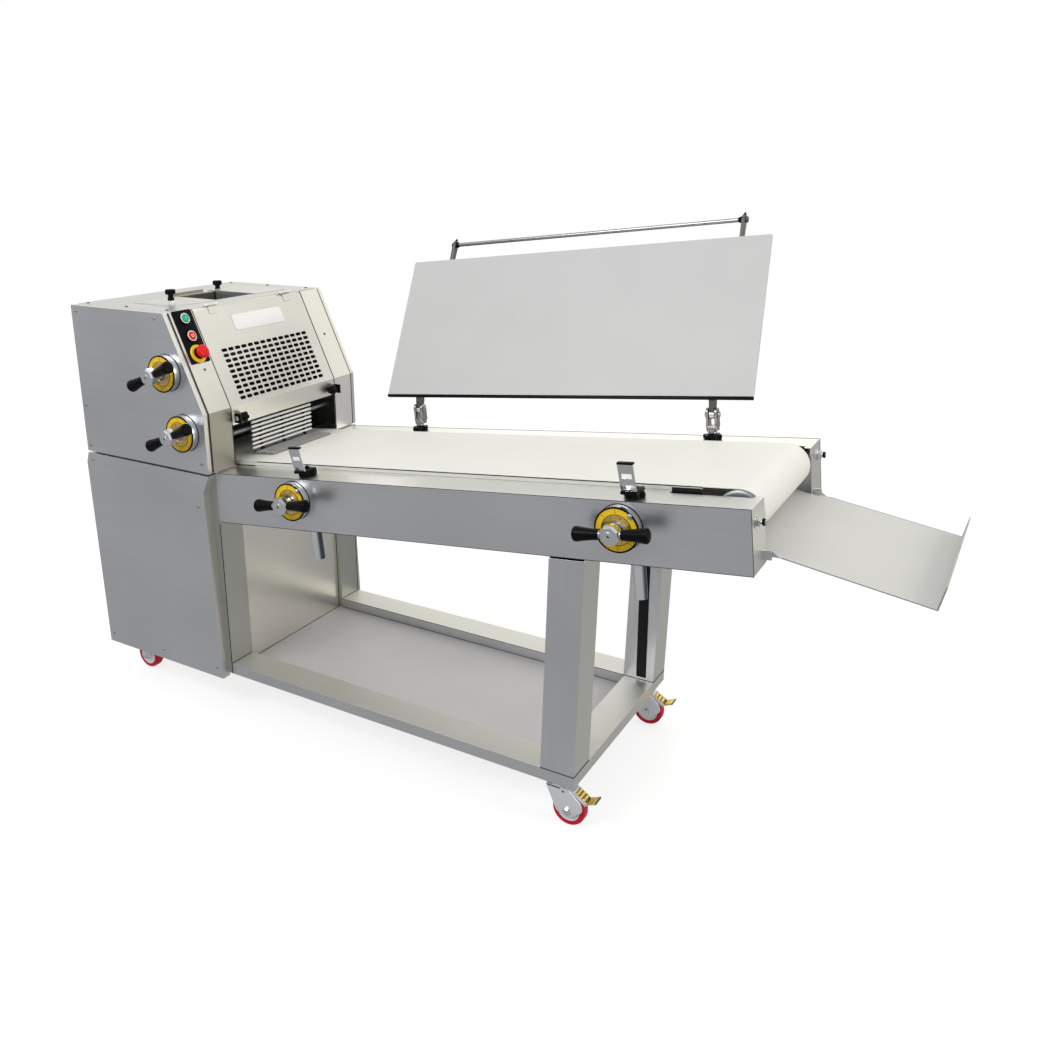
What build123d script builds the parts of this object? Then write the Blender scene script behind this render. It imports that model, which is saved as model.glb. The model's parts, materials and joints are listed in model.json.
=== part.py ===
from build123d import *
import os
from math import atan2, cos, degrees, hypot, pi, radians, sin, tan

os.makedirs("parts", exist_ok=True)

# All sizes in millimetres. x runs from the rear of the cabinet to the catch tray, y across, z up from the floor.
stand_x = 1364.0

# Clearances
slide_gap = 0.2
turn_gap = 0.1
press_gap = 0.05
seat_gap = 0.4

# Cabinet and head
frame_half = 350.0
sheet = 2.0
panel_sheet = 3.0
cover_depth = 32.0
cover_lip = 18.0
cabinet_length = 585.0
cover_bottom = 135.0
cover_front = 572.0
cover_waist = 554.0
flare_drop = 65.0
cover_bulge = 13.0
head_depth = 515.0
seam_gap = 7.0
head_height = 1380.0
head_top_length = 444.0
knee_drop = 315.0
strip_width = 88.0
strip_overlap = 10.0
plate_drop = 125.0
plate_thickness = 10.0
rear_post = 60.0

# Base
base_bottom = 144.0
base_top = 181.0
base_rail_width = 100.0
base_end = 1877.0
end_leg = 104.0
end_leg_lean = 20.0
leg_reach = 302.0
leg_gap = 6.0
tube_wall = 3.0
front_leg = 100.0
shelf_sheet = 3.0
front_panel_x = 566.0
front_panel_drop = 8.0

# Castors
wheel_radius = 50.0
wheel_half = 16.0
hub_half = 18.0
axle_radius = 6.0
swivel_from_end = 65.0
swivel_from_side = 47.0
trail = 35.0
rear_castor_x = 75.0
rear_castor_y = 271.0
castor_plate = (100.0, 86.0, 4.0)
cheek_inner = 20.0
cheek_outer = 25.0
crown_top = 122.0
crown_bottom = 114.0
cup_bottom = 128.0
pedal_reach = 98.0
pedal_half = 19.0

# Conveyor, measured along its slope (u), across (y) and square to it (w)
tilt = 6.0
foot_drop = 167.0
rail_height = 165.0
rail_flange = 109.0
rail_sheet = 3.0
belt_half = 232.0
belt_thickness = 3.0
belt_top = 179.0
drum_radius = 57.7
drum_u = -270.0
tail_u = 1692.0
tail_margin = 62.0
roller_shaft = 15.0
tail_shaft = 10.0
bed_half = 240.0
bed_start = -180.0
bed_stop = 92.0
bed_sheet = 4.0
bed_fold = 4.5
left_member_u = 150.0
right_member = 402.0
cross_member = (50.0, 20.0)
notch = (169.0, 43.0, 17.0)

# Board posts
left_post_u = 375.0
right_post = 242.0
post_y = 308.0
post_radius = 8.0
post_low = -98.0
tube_radius = 17.0
tube_low = -105.0
star_nut_radius = 29.0
star_nut_height = 15.0
strap_width = 42.0
strap_sheet = 3.0
strap_y = 340.0
strap_top = 266.0
strap_lip = 10.0
strap_lean = 18.0
strap_window = (27.0, 13.0)
strap_window_w = 230.0
fork_half = 17.0
fork_slot = 9.5
fork_top = 268.0

# Press board
board_start = 250.0
board_stop = 113.0
board_width = 532.0
board_thickness = 10.0
board_angle = 59.5
board_edge = (300.0, 290.0)
hinge_at = (318.0, 238.0)
hinge_pin = 6.0
leaf_half = 8.0
handle_reach = 600.0
handle_behind = 20.0
handle_radius = 7.0
handle_bracket = 6.0
left_handle_u = 403.0
right_handle = 212.0
handle_end = 16.0

# Adjusters
dial_radius = 60.0
dial_depth = 24.0
dial_ring = 2.0
shaft_radius = 8.0
hub_radius = 28.0
arm_radius = 7.0
grip_start = 29.0
grip_end = 100.0
grip_small = 14.0
grip_large = 20.0
left_dial_u = 345.0
right_dial = 268.0
conveyor_dial_w = 97.0
conveyor_hub = (46.0, 76.0)
plunger_height = 8.0
upper_dial_ahead = 69.0
lower_dial_ahead = 67.0
lower_dial_drop = 3.0
head_hub = (52.0, 86.0)
head_lever_turn = 24.0
conveyor_lever_turn = 3.0

# Sheeting rollers
roller_radius = 55.0
roller_half = 250.0
upper_roller_drop = 192.0
lower_roller_rise = 135.0
roller_pitch = 120.0
upper_fixed_x = 250.0
lower_fixed_x = 310.0
slide_travel = 20.0
block_half_x = 28.0
block_half_z = 25.0
block_depth = 24.0
guide_depth = 18.0
guide_height = 12.0
bearing_radius = 33.0
bearing_depth = 18.0
gear_teeth = 20
gear_addendum = 3.5
gear_dedendum = 6.0
gear_y = (-312.0, -292.0)
sprocket_radius = 39.5
sprocket_teeth = 16
chain_inner = 40.0
chain_outer = 46.0
roller_chain_y = (290.0, 298.0)
motor_chain_y = (308.0, 316.0)
motor_at = (304.0, 430.0)
motor_shaft = 14.0

# Head openings and guard
inlet_x = (170.0, 360.0)
inlet_half = 150.0
chute_depth = 80.0
hopper_lip = (12.0, 4.0)
hopper_lip_y = (-84.0, 56.0)
guide_sheet = 2.0
near_guide = ((174.0, 372.0), (-262.0, -85.0))
far_guide = ((135.0, 372.0), (110.0, 262.0))
near_guide_knob = (315.0, -228.0)
far_guide_knob = (155.0, 140.0)
guide_travel = 50.0
star_knob_radius = 17.0
star_knob_height = 16.0
near_knob_stem = 32.0
far_knob_stem = 16.0
stud_radius = 4.5
guard_half = 261.0
guard_sheet = 2.5
guard_start = 10.0
guard_lip_drop = 60.0
guard_hinge_y = 180.0
guard_barrel = 5.0
guard_pin = 2.5
slot_row_pitch = 18.6
slot_columns = 14
slot_margin = 20.0
slot_column_pitch = 30.4
slot_first_row = 157.0
slot_centre_y = 2.5
slot_size = (25.0, 11.5)
name_plate_s = 72.0
name_plate_y = (-111.0, 131.0)
name_plate_height = 48.0
guard_knob_out = 19.0
guard_knob_drop = 35.0
guard_knob_radius = 17.0
guard_knob_length = 36.0
guard_ear_y = (252.0, 256.0)

# Controls on the near front strip, measured down the slope
panel_s = (2.0, 181.0)
panel_y = (-349.0, -270.0)
button_y = -310.0
start_s = 31.0
stop_s = 91.0
emergency_s = 151.0
button_radius = 13.0
bezel_radius = 19.0
bezel_bore = 13.5
bezel_tube = 15.0
emergency_base = 30.0
mushroom_radius = 22.0

# Curling mat and catch tray
mat_hanger_x = 556.0
mat_hanger_rise = 135.0
hanger_radius = 6.0
mat_half = 152.0
mat_bar = 4.8
mat_pitch = 15.0
mat_bars = 7
mat_trail_bars = 6
mat_x = 562.0
tie_bar_x = (60.0, 540.0)
tie_bar_rise = (-65.0, 97.0)
top_tie_drop = 50.0
tie_radius = 8.0
tray_half = 258.0
tray_sheet = 2.5
tray_gap = 12.0
tray_hinge_w = 27.0
tray_reach = (376.5, -58.4)
tray_rise = (13.0, 57.0)
tongue_reach = 82.0
tongue_half = 240.0
tray_ear = 3.0
tray_pin = 4.0
gland_at = (200.0, 300.0)

# Derived frame values
front_x = cabinet_length + panel_sheet
seam = head_height - head_depth
knee_height = head_height - knee_drop
cover_flare = seam - flare_drop
plate_bottom = seam - plate_drop
conveyor_foot = seam - foot_drop
front_panel_top = conveyor_foot - front_panel_drop
slope_run = front_x - head_top_length
slope_drop = head_height - knee_height
slope_length = hypot(slope_run, slope_drop)
top_under = head_height - panel_sheet
slot_rows = int((slope_length - slot_first_row - slot_margin) / slot_row_pitch) + 1
tie_bars = (
    (tie_bar_x[0], seam + tie_bar_rise[0]), (tie_bar_x[0], head_height - top_tie_drop),
    (tie_bar_x[1], seam + tie_bar_rise[1]))
upper_z = head_height - upper_roller_drop
lower_z = seam + lower_roller_rise
upper_fixed = (upper_fixed_x, upper_z)
upper_moving = (upper_fixed_x + roller_pitch, upper_z)
lower_fixed = (lower_fixed_x, lower_z)
lower_moving = (lower_fixed_x + roller_pitch, lower_z)
pitch_radius = roller_pitch / 2
mat_hanger = (mat_hanger_x, seam + mat_hanger_rise)
guard_lip_bottom = knee_height - guard_lip_drop
guard_knob_at = (front_x + guard_knob_out, knee_height - guard_knob_drop)
upper_dial = (upper_moving[0] + upper_dial_ahead, upper_z)
lower_dial = (lower_moving[0] + lower_dial_ahead, lower_z - lower_dial_drop)
chute_bottom = head_height - chute_depth
rail_length = tail_u + tail_margin
post_u = (left_post_u, tail_u - right_post)
conveyor_dial_u = (left_dial_u, tail_u - right_dial)
handle_u = (left_handle_u, tail_u - right_handle)
board_end = tail_u - board_stop
right_member_u = tail_u - right_member
cross_member_u = (left_member_u, 0.43 * left_member_u + 0.57 * right_member_u, right_member_u)
bed_end = tail_u - bed_stop
tray_hinge = (rail_length + tray_gap, tray_hinge_w)
drum_w = belt_top - belt_thickness - drum_radius - seat_gap + press_gap * 2
board_a = radians(board_angle)
swivel = (base_end - swivel_from_end, frame_half - swivel_from_side)
axle_x = swivel[0] + trail
pedal_pivot = (swivel[0] + 22.0, 110.0)
flange_inner = frame_half - rail_flange
leg_inner = frame_half - base_rail_width

STAND = Pos(-stand_x, 0, 0)
TILTED = Pos(cabinet_length, 0, conveyor_foot) * Rot(0, -tilt, 0)


def block(x, y, z):
    size = Box(x[1] - x[0], y[1] - y[0], z[1] - z[0])
    return Pos((x[0] + x[1]) / 2, (y[0] + y[1]) / 2, (z[0] + z[1]) / 2) * size


def rod_x(x, y, z, radius):
    return Pos((x[0] + x[1]) / 2, y, z) * Rot(0, 90, 0) * Cylinder(radius, x[1] - x[0])


def rod_y(x, y, z, radius):
    return Pos(x, (y[0] + y[1]) / 2, z) * Rot(90, 0, 0) * Cylinder(radius, y[1] - y[0])


def rod_z(x, y, z, radius):
    return Pos(x, y, (z[0] + z[1]) / 2) * Cylinder(radius, z[1] - z[0])


def outline_y(points):
    return make_face(Polyline(*[(px, 0, pz) for px, pz in points], close=True))


def along_y(points, y):
    return Pos(0, y[0], 0) * extrude(outline_y(points), amount=y[1] - y[0], dir=(0, 1, 0))


def along_x(points, x):
    face = make_face(Polyline(*[(x[0], py, pz) for py, pz in points], close=True))
    return extrude(face, amount=x[1] - x[0], dir=(1, 0, 0))


def far(shape):
    return mirror(shape, about=Plane.XZ)


def solid(shape):
    return shape.solids()[0]


def save(name, *shapes):
    placed = []
    for shape in shapes:
        placed.extend((STAND * shape).solids())
    export_step(placed[0] if len(placed) == 1 else Compound(children=placed), f"parts/{name}.step")


def slope_x(z, inset):
    return head_top_length + (head_height - z) * slope_run / slope_drop - inset * slope_length / slope_drop


def slope_z(x, inset):
    return head_height - (x - head_top_length + inset * slope_length / slope_drop) * slope_drop / slope_run


def on_slope(s, out):
    x = head_top_length + (s * slope_run + out * slope_drop) / slope_length
    z = head_height + (out * slope_run - s * slope_drop) / slope_length
    return x, z


def slope_frame(s, y):
    x, z = on_slope(s, 0)
    lean = degrees(atan2(slope_drop, slope_run))
    return Pos(x, y, z) * Rot(0, lean, 0)


def on_board(s, n):
    y = board_edge[0] + s * cos(board_a) + n * sin(board_a)
    w = board_edge[1] + s * sin(board_a) - n * cos(board_a)
    return y, w


def tilted_point(u, w):
    a = radians(tilt)
    return cabinet_length + u * cos(a) - w * sin(a), conveyor_foot + u * sin(a) + w * cos(a)


def pan(points, face_y, lip):
    shell = along_y(points, (face_y, face_y + cover_depth))
    inner = offset(outline_y(points), amount=-sheet, kind=Kind.INTERSECTION)
    hollow = extrude(inner, amount=cover_depth - 2 * sheet, dir=(0, 1, 0))
    mouth = offset(outline_y(points), amount=-lip, kind=Kind.INTERSECTION)
    opening = extrude(mouth, amount=cover_depth, dir=(0, 1, 0))
    return shell - Pos(0, face_y + sheet, 0) * hollow - Pos(0, face_y + sheet, 0) * opening


def star(radius, height, bore):
    body = Cylinder(radius * 0.72, height)
    for i in range(6):
        body += Rot(0, 0, 60 * i) * Pos(radius * 0.72, 0, 0) * Cylinder(radius * 0.28, height)
    if bore:
        body -= Cylinder(bore, height + 2)
    return solid(body)


def toothed(teeth, root, tip, y, phase):
    pitch = 2 * pi / teeth
    points = []
    for i in range(teeth):
        a = i * pitch + phase * pitch
        for part, radius in ((-0.27, root), (-0.1, tip), (0.1, tip), (0.27, root)):
            points.append((radius * sin(a + part * pitch), radius * cos(a + part * pitch)))
    return along_y(points, y)


def lever(hub, shaft_end):
    middle = -(hub[0] + hub[1]) / 2
    body = Pos(0, -hub[0], 0) * Rot(90, 0, 0) * extrude(RegularPolygon(hub_radius, 8), amount=hub[1] - hub[0])
    body += rod_x((-grip_start, grip_start), 0, middle, arm_radius).moved(Location((0, middle, -middle)))
    length = grip_end - grip_start
    grip = Pos((grip_start + grip_end) / 2, middle, 0) * Rot(0, 90, 0) * Cone(grip_small, grip_large, length)
    body += grip + Rot(0, 180, 0) * grip
    body += rod_y(0, (-hub[0], shaft_end), 0, shaft_radius)
    return solid(body)


def dial(outward):
    drum = rod_y(0, (-dial_depth, 0), 0, dial_radius)
    ring = rod_y(0, (-dial_depth - dial_ring, -dial_depth), 0, dial_radius - 2)
    ring -= rod_y(0, (-dial_depth - dial_ring, -dial_depth), 0, dial_radius - 22)
    plunger = rod_y(dial_radius * 0.65, (-dial_depth - plunger_height, -dial_depth), dial_radius * 0.65, 6)
    bore = rod_y(0, (-dial_depth - 30, 10), 0, shaft_radius + seat_gap)
    return solid(drum + ring + plunger - bore).moved(outward)


# Base
near_base = block((cabinet_length, base_end), (-frame_half, -leg_inner), (base_bottom, base_top))
near_base -= block(
    (cabinet_length, base_end - tube_wall), (-frame_half + tube_wall, -leg_inner - tube_wall),
    (base_bottom + tube_wall, base_top - tube_wall))
end_base = block((base_end - base_rail_width, base_end), (-leg_inner, leg_inner), (base_bottom, base_top))
end_base -= block(
    (base_end - base_rail_width + tube_wall, base_end - tube_wall), (-leg_inner, leg_inner),
    (base_bottom + tube_wall, base_top - tube_wall))
save("base_rails", near_base, far(near_base), end_base)

hollow_y = (-frame_half + tube_wall, -leg_inner - tube_wall)
front_post = block(
    (cabinet_length - front_leg, cabinet_length), (-frame_half, -leg_inner), (base_bottom, seam))
front_post -= block(
    (cabinet_length - front_leg + tube_wall, cabinet_length - tube_wall), hollow_y, (base_bottom, seam))
leg_peak = conveyor_foot + leg_reach
lean_top = 1.25 * end_leg_lean
end_post = along_y(
    [(base_end - end_leg, base_top), (base_end, base_top), (base_end + lean_top, leg_peak),
     (base_end - end_leg + lean_top, leg_peak)], (-frame_half, -leg_inner))
end_post -= along_y(
    [(base_end - end_leg + tube_wall, base_top), (base_end - tube_wall, base_top),
     (base_end - tube_wall + lean_top, leg_peak), (base_end - end_leg + tube_wall + lean_top, leg_peak)], hollow_y)
end_post -= TILTED * block((0, 1.2 * rail_length), (-frame_half - 50, 0), (0, 2.5 * rail_height))
end_post -= TILTED * block((0, 1.2 * rail_length), (-frame_half - 1, -frame_half + tube_wall), (-leg_gap, 0))
rear_post_near = block((0, rear_post), (-frame_half, -frame_half + rear_post), (base_bottom, plate_bottom))
rear_post_near -= block(
    (tube_wall, rear_post - tube_wall), (-frame_half + tube_wall, -frame_half + rear_post - tube_wall),
    (base_bottom, plate_bottom))
posts = [front_post, end_post, rear_post_near]
save("frame_posts", *posts, *[far(post) for post in posts])

shelf_end = base_end - base_rail_width
save("shelf_panel", block(
    (front_panel_x + panel_sheet, shelf_end), (-leg_inner, leg_inner), (base_bottom, base_bottom + shelf_sheet)))

# Cabinet
cover_top = seam - seam_gap / 2
cabinet_outline = [
    (0, cover_bottom), (cover_front, cover_bottom), (cover_waist, cover_flare), (cabinet_length, cover_top),
    (0, cover_top), (-cover_bulge, cover_flare + 25)]
near_cabinet = pan(cabinet_outline, -frame_half - cover_depth, cover_lip)
save("cabinet_side_covers", near_cabinet, far(near_cabinet))

post_side = frame_half - rear_post
rear_low = block((0, panel_sheet), (-post_side, post_side), (base_bottom + shelf_sheet, plate_bottom))
rear_low -= rod_x((-5, 10), gland_at[0], gland_at[1], 10 + press_gap)
plate_inner = frame_half - plate_thickness
rear_high = block((0, panel_sheet), (-plate_inner, plate_inner), (plate_bottom, top_under))
front_low = block(
    (front_panel_x, front_panel_x + panel_sheet), (-leg_inner, leg_inner),
    (base_bottom + shelf_sheet, front_panel_top))
floor = block(
    (rear_post, cabinet_length - front_leg), (-frame_half, frame_half), (base_bottom, base_bottom + shelf_sheet))
floor += block((0, rear_post), (-post_side, post_side), (base_bottom, base_bottom + shelf_sheet))
floor += block(
    (cabinet_length - front_leg, front_panel_x + panel_sheet), (-leg_inner, leg_inner),
    (base_bottom, base_bottom + shelf_sheet))
save("cabinet_panels", rear_low, rear_high, front_low, solid(floor))

gland = rod_x((-20, 0), gland_at[0], gland_at[1], 14) + rod_x((0, 18), gland_at[0], gland_at[1], 10)
save("cable_gland", gland - rod_x((-21, 19), gland_at[0], gland_at[1], 6))

# Head
plate_outline = [
    (0, plate_bottom), (cabinet_length - front_leg, plate_bottom), (cabinet_length - front_leg, seam),
    (cabinet_length, seam), (cabinet_length, slope_z(cabinet_length, panel_sheet)),
    (slope_x(top_under, panel_sheet), top_under), (0, top_under)]
near_plate = along_y(plate_outline, (-frame_half, -plate_inner))
for dial_at in (upper_dial, lower_dial):
    near_plate -= rod_y(dial_at[0], (-400, -300), dial_at[1], shaft_radius + seat_gap)
far_plate = along_y(plate_outline, (plate_inner, frame_half))
bars = [rod_y(x, (-plate_inner, plate_inner), z, tie_radius) for x, z in tie_bars]
bars.append(rod_y(mat_hanger[0], (-plate_inner, plate_inner), mat_hanger[1], hanger_radius))
guides = []
for x, z in (upper_moving, lower_moving):
    span = (x - block_half_x - 12, x + block_half_x + slide_travel + 12)
    for low in (z - block_half_z - slide_gap - guide_height, z + block_half_z + slide_gap):
        guide = block(span, (-plate_inner, -plate_inner + guide_depth), (low, low + guide_height))
        guides.extend([guide, far(guide)])
save("head_frame", near_plate, far_plate, *bars, *guides)

cover_base = seam + seam_gap / 2
head_outline = [
    (0, cover_base), (cabinet_length, cover_base), (cabinet_length, slope_z(cabinet_length, panel_sheet)),
    (slope_x(head_height - sheet, panel_sheet), head_height - sheet), (0, head_height - sheet)]
near_head = pan(head_outline, -frame_half - cover_depth, cover_lip)
far_head = far(near_head)
for dial_at in (upper_dial, lower_dial):
    near_head -= rod_y(dial_at[0], (-400, -300), dial_at[1], shaft_radius + seat_gap)
save("head_side_covers", near_head, far_head)

top = block((0, head_top_length), (-frame_half, frame_half), (top_under, head_height))
top -= block(inlet_x, (-inlet_half, inlet_half), (top_under - 1, head_height + 1))
for (x, y), reach in ((near_guide_knob, guide_travel), (far_guide_knob, -guide_travel)):
    slot = (min(y, y + reach), max(y, y + reach))
    half = stud_radius + seat_gap
    top -= block((x - half, x + half), slot, (top_under - 1, head_height + 1))
    for end in slot:
        top -= rod_z(x, end, (top_under - 1, head_height + 1), half)
chute_rear = block((inlet_x[0] - sheet, inlet_x[0]), (-inlet_half, inlet_half), (chute_bottom, top_under))
chute_front = block((inlet_x[1], inlet_x[1] + sheet), (-inlet_half, inlet_half), (chute_bottom, top_under))
hopper = along_y(
    [(inlet_x[0] - sheet, head_height), (inlet_x[0], head_height),
     (inlet_x[0] - hopper_lip[1], head_height + hopper_lip[0]),
     (inlet_x[0] - hopper_lip[1] - sheet, head_height + hopper_lip[0])], hopper_lip_y)
hinge_x, hinge_z = head_top_length + 3.0, head_height + 1.5
barrels = []
for side in (-guard_hinge_y, guard_hinge_y):
    top -= block((hinge_x - guard_barrel - 1, head_top_length + 1), (side - 15, side + 15), (top_under - 1, head_height + 20))
    for start in (side - 30, side + 15 + slide_gap):
        knuckle = rod_y(hinge_x, (start, start + 15 - slide_gap), hinge_z, guard_barrel)
        knuckle += block(
            (head_top_length - 28, hinge_x), (start, start + 15 - slide_gap), (head_height, head_height + sheet))
        knuckle -= block((300, 600), (start, start + 15), (head_height - 40, head_height))
        knuckle -= rod_y(hinge_x, (start - 1, start + 16), hinge_z, guard_pin + press_gap)
        barrels.append(solid(knuckle))
    barrels.append(rod_y(hinge_x, (side - 30, side + 30), hinge_z, guard_pin))
save("head_top_panel", solid(top), chute_rear, chute_front, hopper, *barrels)

strip_outline = [
    (slope_x(top_under, panel_sheet), top_under), (slope_x(top_under, 0), top_under), (front_x, knee_height),
    (front_x, cover_base), (cabinet_length, cover_base), (cabinet_length, slope_z(cabinet_length, panel_sheet))]
near_strip = along_y(strip_outline, (-frame_half - strip_overlap, -frame_half + strip_width))
far_strip = far(near_strip)
switches = (start_s, stop_s, emergency_s)
for s in switches:
    near_strip -= slope_frame(s, button_y) * Cylinder(bezel_tube + press_gap, 40)
save("head_front_strips", near_strip, far_strip)

# Controls
middle_s = (panel_s[0] + panel_s[1]) / 2
middle_y = (panel_y[0] + panel_y[1]) / 2
control = slope_frame(middle_s, middle_y) * Pos(0, 0, 1.5) * Box(
    panel_s[1] - panel_s[0], panel_y[1] - panel_y[0], panel_sheet)
for s in switches:
    control -= slope_frame(s, button_y) * Cylinder(bezel_tube + press_gap, 40)
control_pieces = [solid(control)]
for s in switches:
    ring_radius = emergency_base if s == emergency_s else bezel_radius
    ring = rod_z(0, 0, (panel_sheet, panel_sheet + 5), ring_radius) + rod_z(0, 0, (-18, panel_sheet), bezel_tube)
    ring -= rod_z(0, 0, (-19, 20), bezel_bore)
    control_pieces.append(slope_frame(s, button_y) * solid(ring))
    control_pieces.append(slope_frame(s, button_y) * block((-17, 17), (-17, 17), (-52, -18)))
save("control_panel", *control_pieces)

button = rod_z(0, 0, (-13, panel_sheet + 11), button_radius)
save("start_button", slope_frame(start_s, button_y) * button)
save("stop_button", slope_frame(stop_s, button_y) * button)
mushroom = rod_z(0, 0, (-12, 24), button_radius) + rod_z(0, 0, (24, 32), mushroom_radius)
mushroom += Pos(0, 0, 35) * Cone(mushroom_radius, mushroom_radius * 0.7, 6)
save("emergency_stop", slope_frame(emergency_s, button_y) * solid(mushroom))

# Guard
guard_top = on_slope(guard_start, 0)
guard_top_inner = on_slope(guard_start, -guard_sheet)
inner_x = front_x - guard_sheet
guard = along_y(
    [guard_top, (front_x, knee_height), (front_x, guard_lip_bottom), (inner_x, guard_lip_bottom),
     (inner_x, slope_z(inner_x, guard_sheet)), guard_top_inner],
    (-guard_half, guard_half))
slot_cut = SlotOverall(slot_size[0], slot_size[1], rotation=90)
slot_cutter = Pos(0, 0, -10) * extrude(slot_cut, amount=20)
cutters = []
for row in range(slot_rows):
    for column in range(slot_columns):
        y = slot_centre_y + (column - (slot_columns - 1) / 2) * slot_column_pitch
        cutters.append(slope_frame(slot_first_row + row * slot_row_pitch, y) * slot_cutter)
guard = guard - cutters
for side in (-guard_hinge_y, guard_hinge_y):
    y = (side - 15 + slide_gap, side + 15 - slide_gap)
    barrel = rod_y(hinge_x, y, hinge_z, guard_barrel)
    leaf = along_y([on_slope(4, 0), on_slope(30, 0), on_slope(30, 2), on_slope(4, 2)], y)
    guard += barrel + leaf - rod_y(hinge_x, (side - 16, side + 16), hinge_z, guard_pin + turn_gap)
for sign in (-1, 1):
    ear_y = sorted((sign * guard_ear_y[0], sign * guard_ear_y[1]))
    ear = block((front_x - 1, guard_knob_at[0] + 16), ear_y, (guard_knob_at[1] - 16, guard_knob_at[1] + 16))
    guard += ear - rod_y(guard_knob_at[0], (-300, 300), guard_knob_at[1], stud_radius + turn_gap)
guard_pieces = [solid(guard)]
plate_y = (name_plate_y[0] + name_plate_y[1]) / 2
guard_pieces.append(slope_frame(name_plate_s, plate_y) * Pos(0, 0, 0.5) * Box(
    name_plate_height, name_plate_y[1] - name_plate_y[0], 1.0))
save("front_guard", *guard_pieces)

knob_head = guard_ear_y[0] - slide_gap
guard_knob = rod_y(guard_knob_at[0], (-knob_head, -knob_head + guard_knob_length), guard_knob_at[1], guard_knob_radius)
guard_knob += rod_y(guard_knob_at[0], (-guard_ear_y[1] - 3, -knob_head), guard_knob_at[1], stud_radius)
save("guard_knob_near", solid(guard_knob))
save("guard_knob_far", solid(far(guard_knob)))

# Infeed guides and their knobs
plate_z = (head_height + slide_gap, head_height + slide_gap + guide_sheet)
for name, (gx, gy), knob, inner, knob_stem in (
        ("near", near_guide, near_guide_knob, near_guide[1][1], near_knob_stem),
        ("far", far_guide, far_guide_knob, far_guide[1][0], far_knob_stem)):
    wall_y = (inner - sheet, inner) if inner < 0 else (inner, inner + sheet)
    piece = block(gx, gy, plate_z)
    piece += block((inlet_x[0] + 4, inlet_x[1] - 4), wall_y, (chute_bottom, plate_z[1]))
    piece -= rod_z(knob[0], knob[1], (head_height - 20, head_height + 20), stud_radius + turn_gap)
    save(f"infeed_guide_{name}", solid(piece))
    knob_z = plate_z[1] + slide_gap
    turned = rod_z(knob[0], knob[1], (knob_z, knob_z + 2), 11)
    turned += rod_z(knob[0], knob[1], (knob_z, knob_z + knob_stem), 8)
    turned += rod_z(knob[0], knob[1], (top_under - 4, knob_z), stud_radius)
    turned += Pos(knob[0], knob[1], knob_z + knob_stem + star_knob_height / 2) * star(
        star_knob_radius, star_knob_height, 0)
    save(f"guide_knob_{name}", solid(turned))

# Conveyor
web = block((-40, rail_length), (-frame_half, -frame_half + rail_sheet), (0, rail_height))
top_flange = block((-40, rail_length), (-frame_half, -flange_inner), (rail_height - rail_sheet, rail_height))
low_flange = block((-40, rail_length), (-frame_half, -flange_inner), (0, rail_sheet))
end_plate = block((rail_length - rail_sheet, rail_length), (-frame_half, -flange_inner), (0, rail_height))
rail = web + top_flange + low_flange + end_plate
rail -= block((tail_u - notch[0], tail_u + notch[1]), (-flange_inner - notch[2], -flange_inner + 40), (rail_height - 10, rail_height + 10))
lug_y = (-tray_half - 12, -tray_half - 6)
lug = block((rail_length, tray_hinge[0] + 8), lug_y, (tray_hinge[1] - 12, tray_hinge[1] + 12))
rail += lug + rod_y(tray_hinge[0], (lug_y[0], -tray_half + tray_ear + 2), tray_hinge[1], tray_pin)
bolt_w = drum_w + 8
rail -= rod_x((rail_length - 10, rail_length + 10), -315, bolt_w, 6 + press_gap)
for u in post_u:
    rail -= rod_z(u, -post_y, (rail_height - 10, rail_height + 10), post_radius + seat_gap)
    rail -= rod_z(u, -post_y, (-10, 10), tube_radius + press_gap)
far_rail = far(rail)
for u in conveyor_dial_u:
    rail -= rod_y(u, (-400, -300), conveyor_dial_w, shaft_radius + seat_gap)
left_cut = block(
    (cabinet_length - 285, cabinet_length), (-frame_half - 50, frame_half + 50),
    (conveyor_foot - 198, conveyor_foot + 302))
save("conveyor_rails", solid(TILTED * rail - left_cut), solid(TILTED * far_rail - left_cut))

bed_top = belt_top - belt_thickness
bed_under = bed_top - bed_sheet
bed_sides = bed_half - bed_sheet
table = block((bed_start, bed_end), (-bed_half, bed_half), (bed_under, bed_top))
for side in ((-bed_half, -bed_sides), (bed_sides, bed_half)):
    table += block((bed_start, tail_u - notch[0]), side, (bed_under - bed_fold, bed_under))
bed = [solid(table)]
for u in cross_member_u:
    reach = frame_half - rail_sheet
    bed.append(block(
        (u - cross_member[0] / 2, u + cross_member[0] / 2), (-reach, reach),
        (rail_height - rail_sheet - cross_member[1], rail_height - rail_sheet)))
    bed.append(block(
        (u - cross_member[0] / 2, u + cross_member[0] / 2), (-bed_sides, bed_sides),
        (rail_height - rail_sheet, bed_under)))
save("conveyor_bed", *[TILTED * piece for piece in bed])

loop_middle = (drum_u + tail_u) / 2
loop_span = tail_u - drum_u
belt_inner = bed_top - drum_w


def belt_loop(radius):
    face = SlotCenterToCenter(loop_span, 2 * radius)
    sweep_body = extrude(face, amount=2 * belt_half)
    return Pos(loop_middle, belt_half, drum_w) * Rot(90, 0, 0) * sweep_body


belt = belt_loop(belt_inner + belt_thickness) - belt_loop(belt_inner)
save("conveyor_belt", TILTED * belt)

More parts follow.
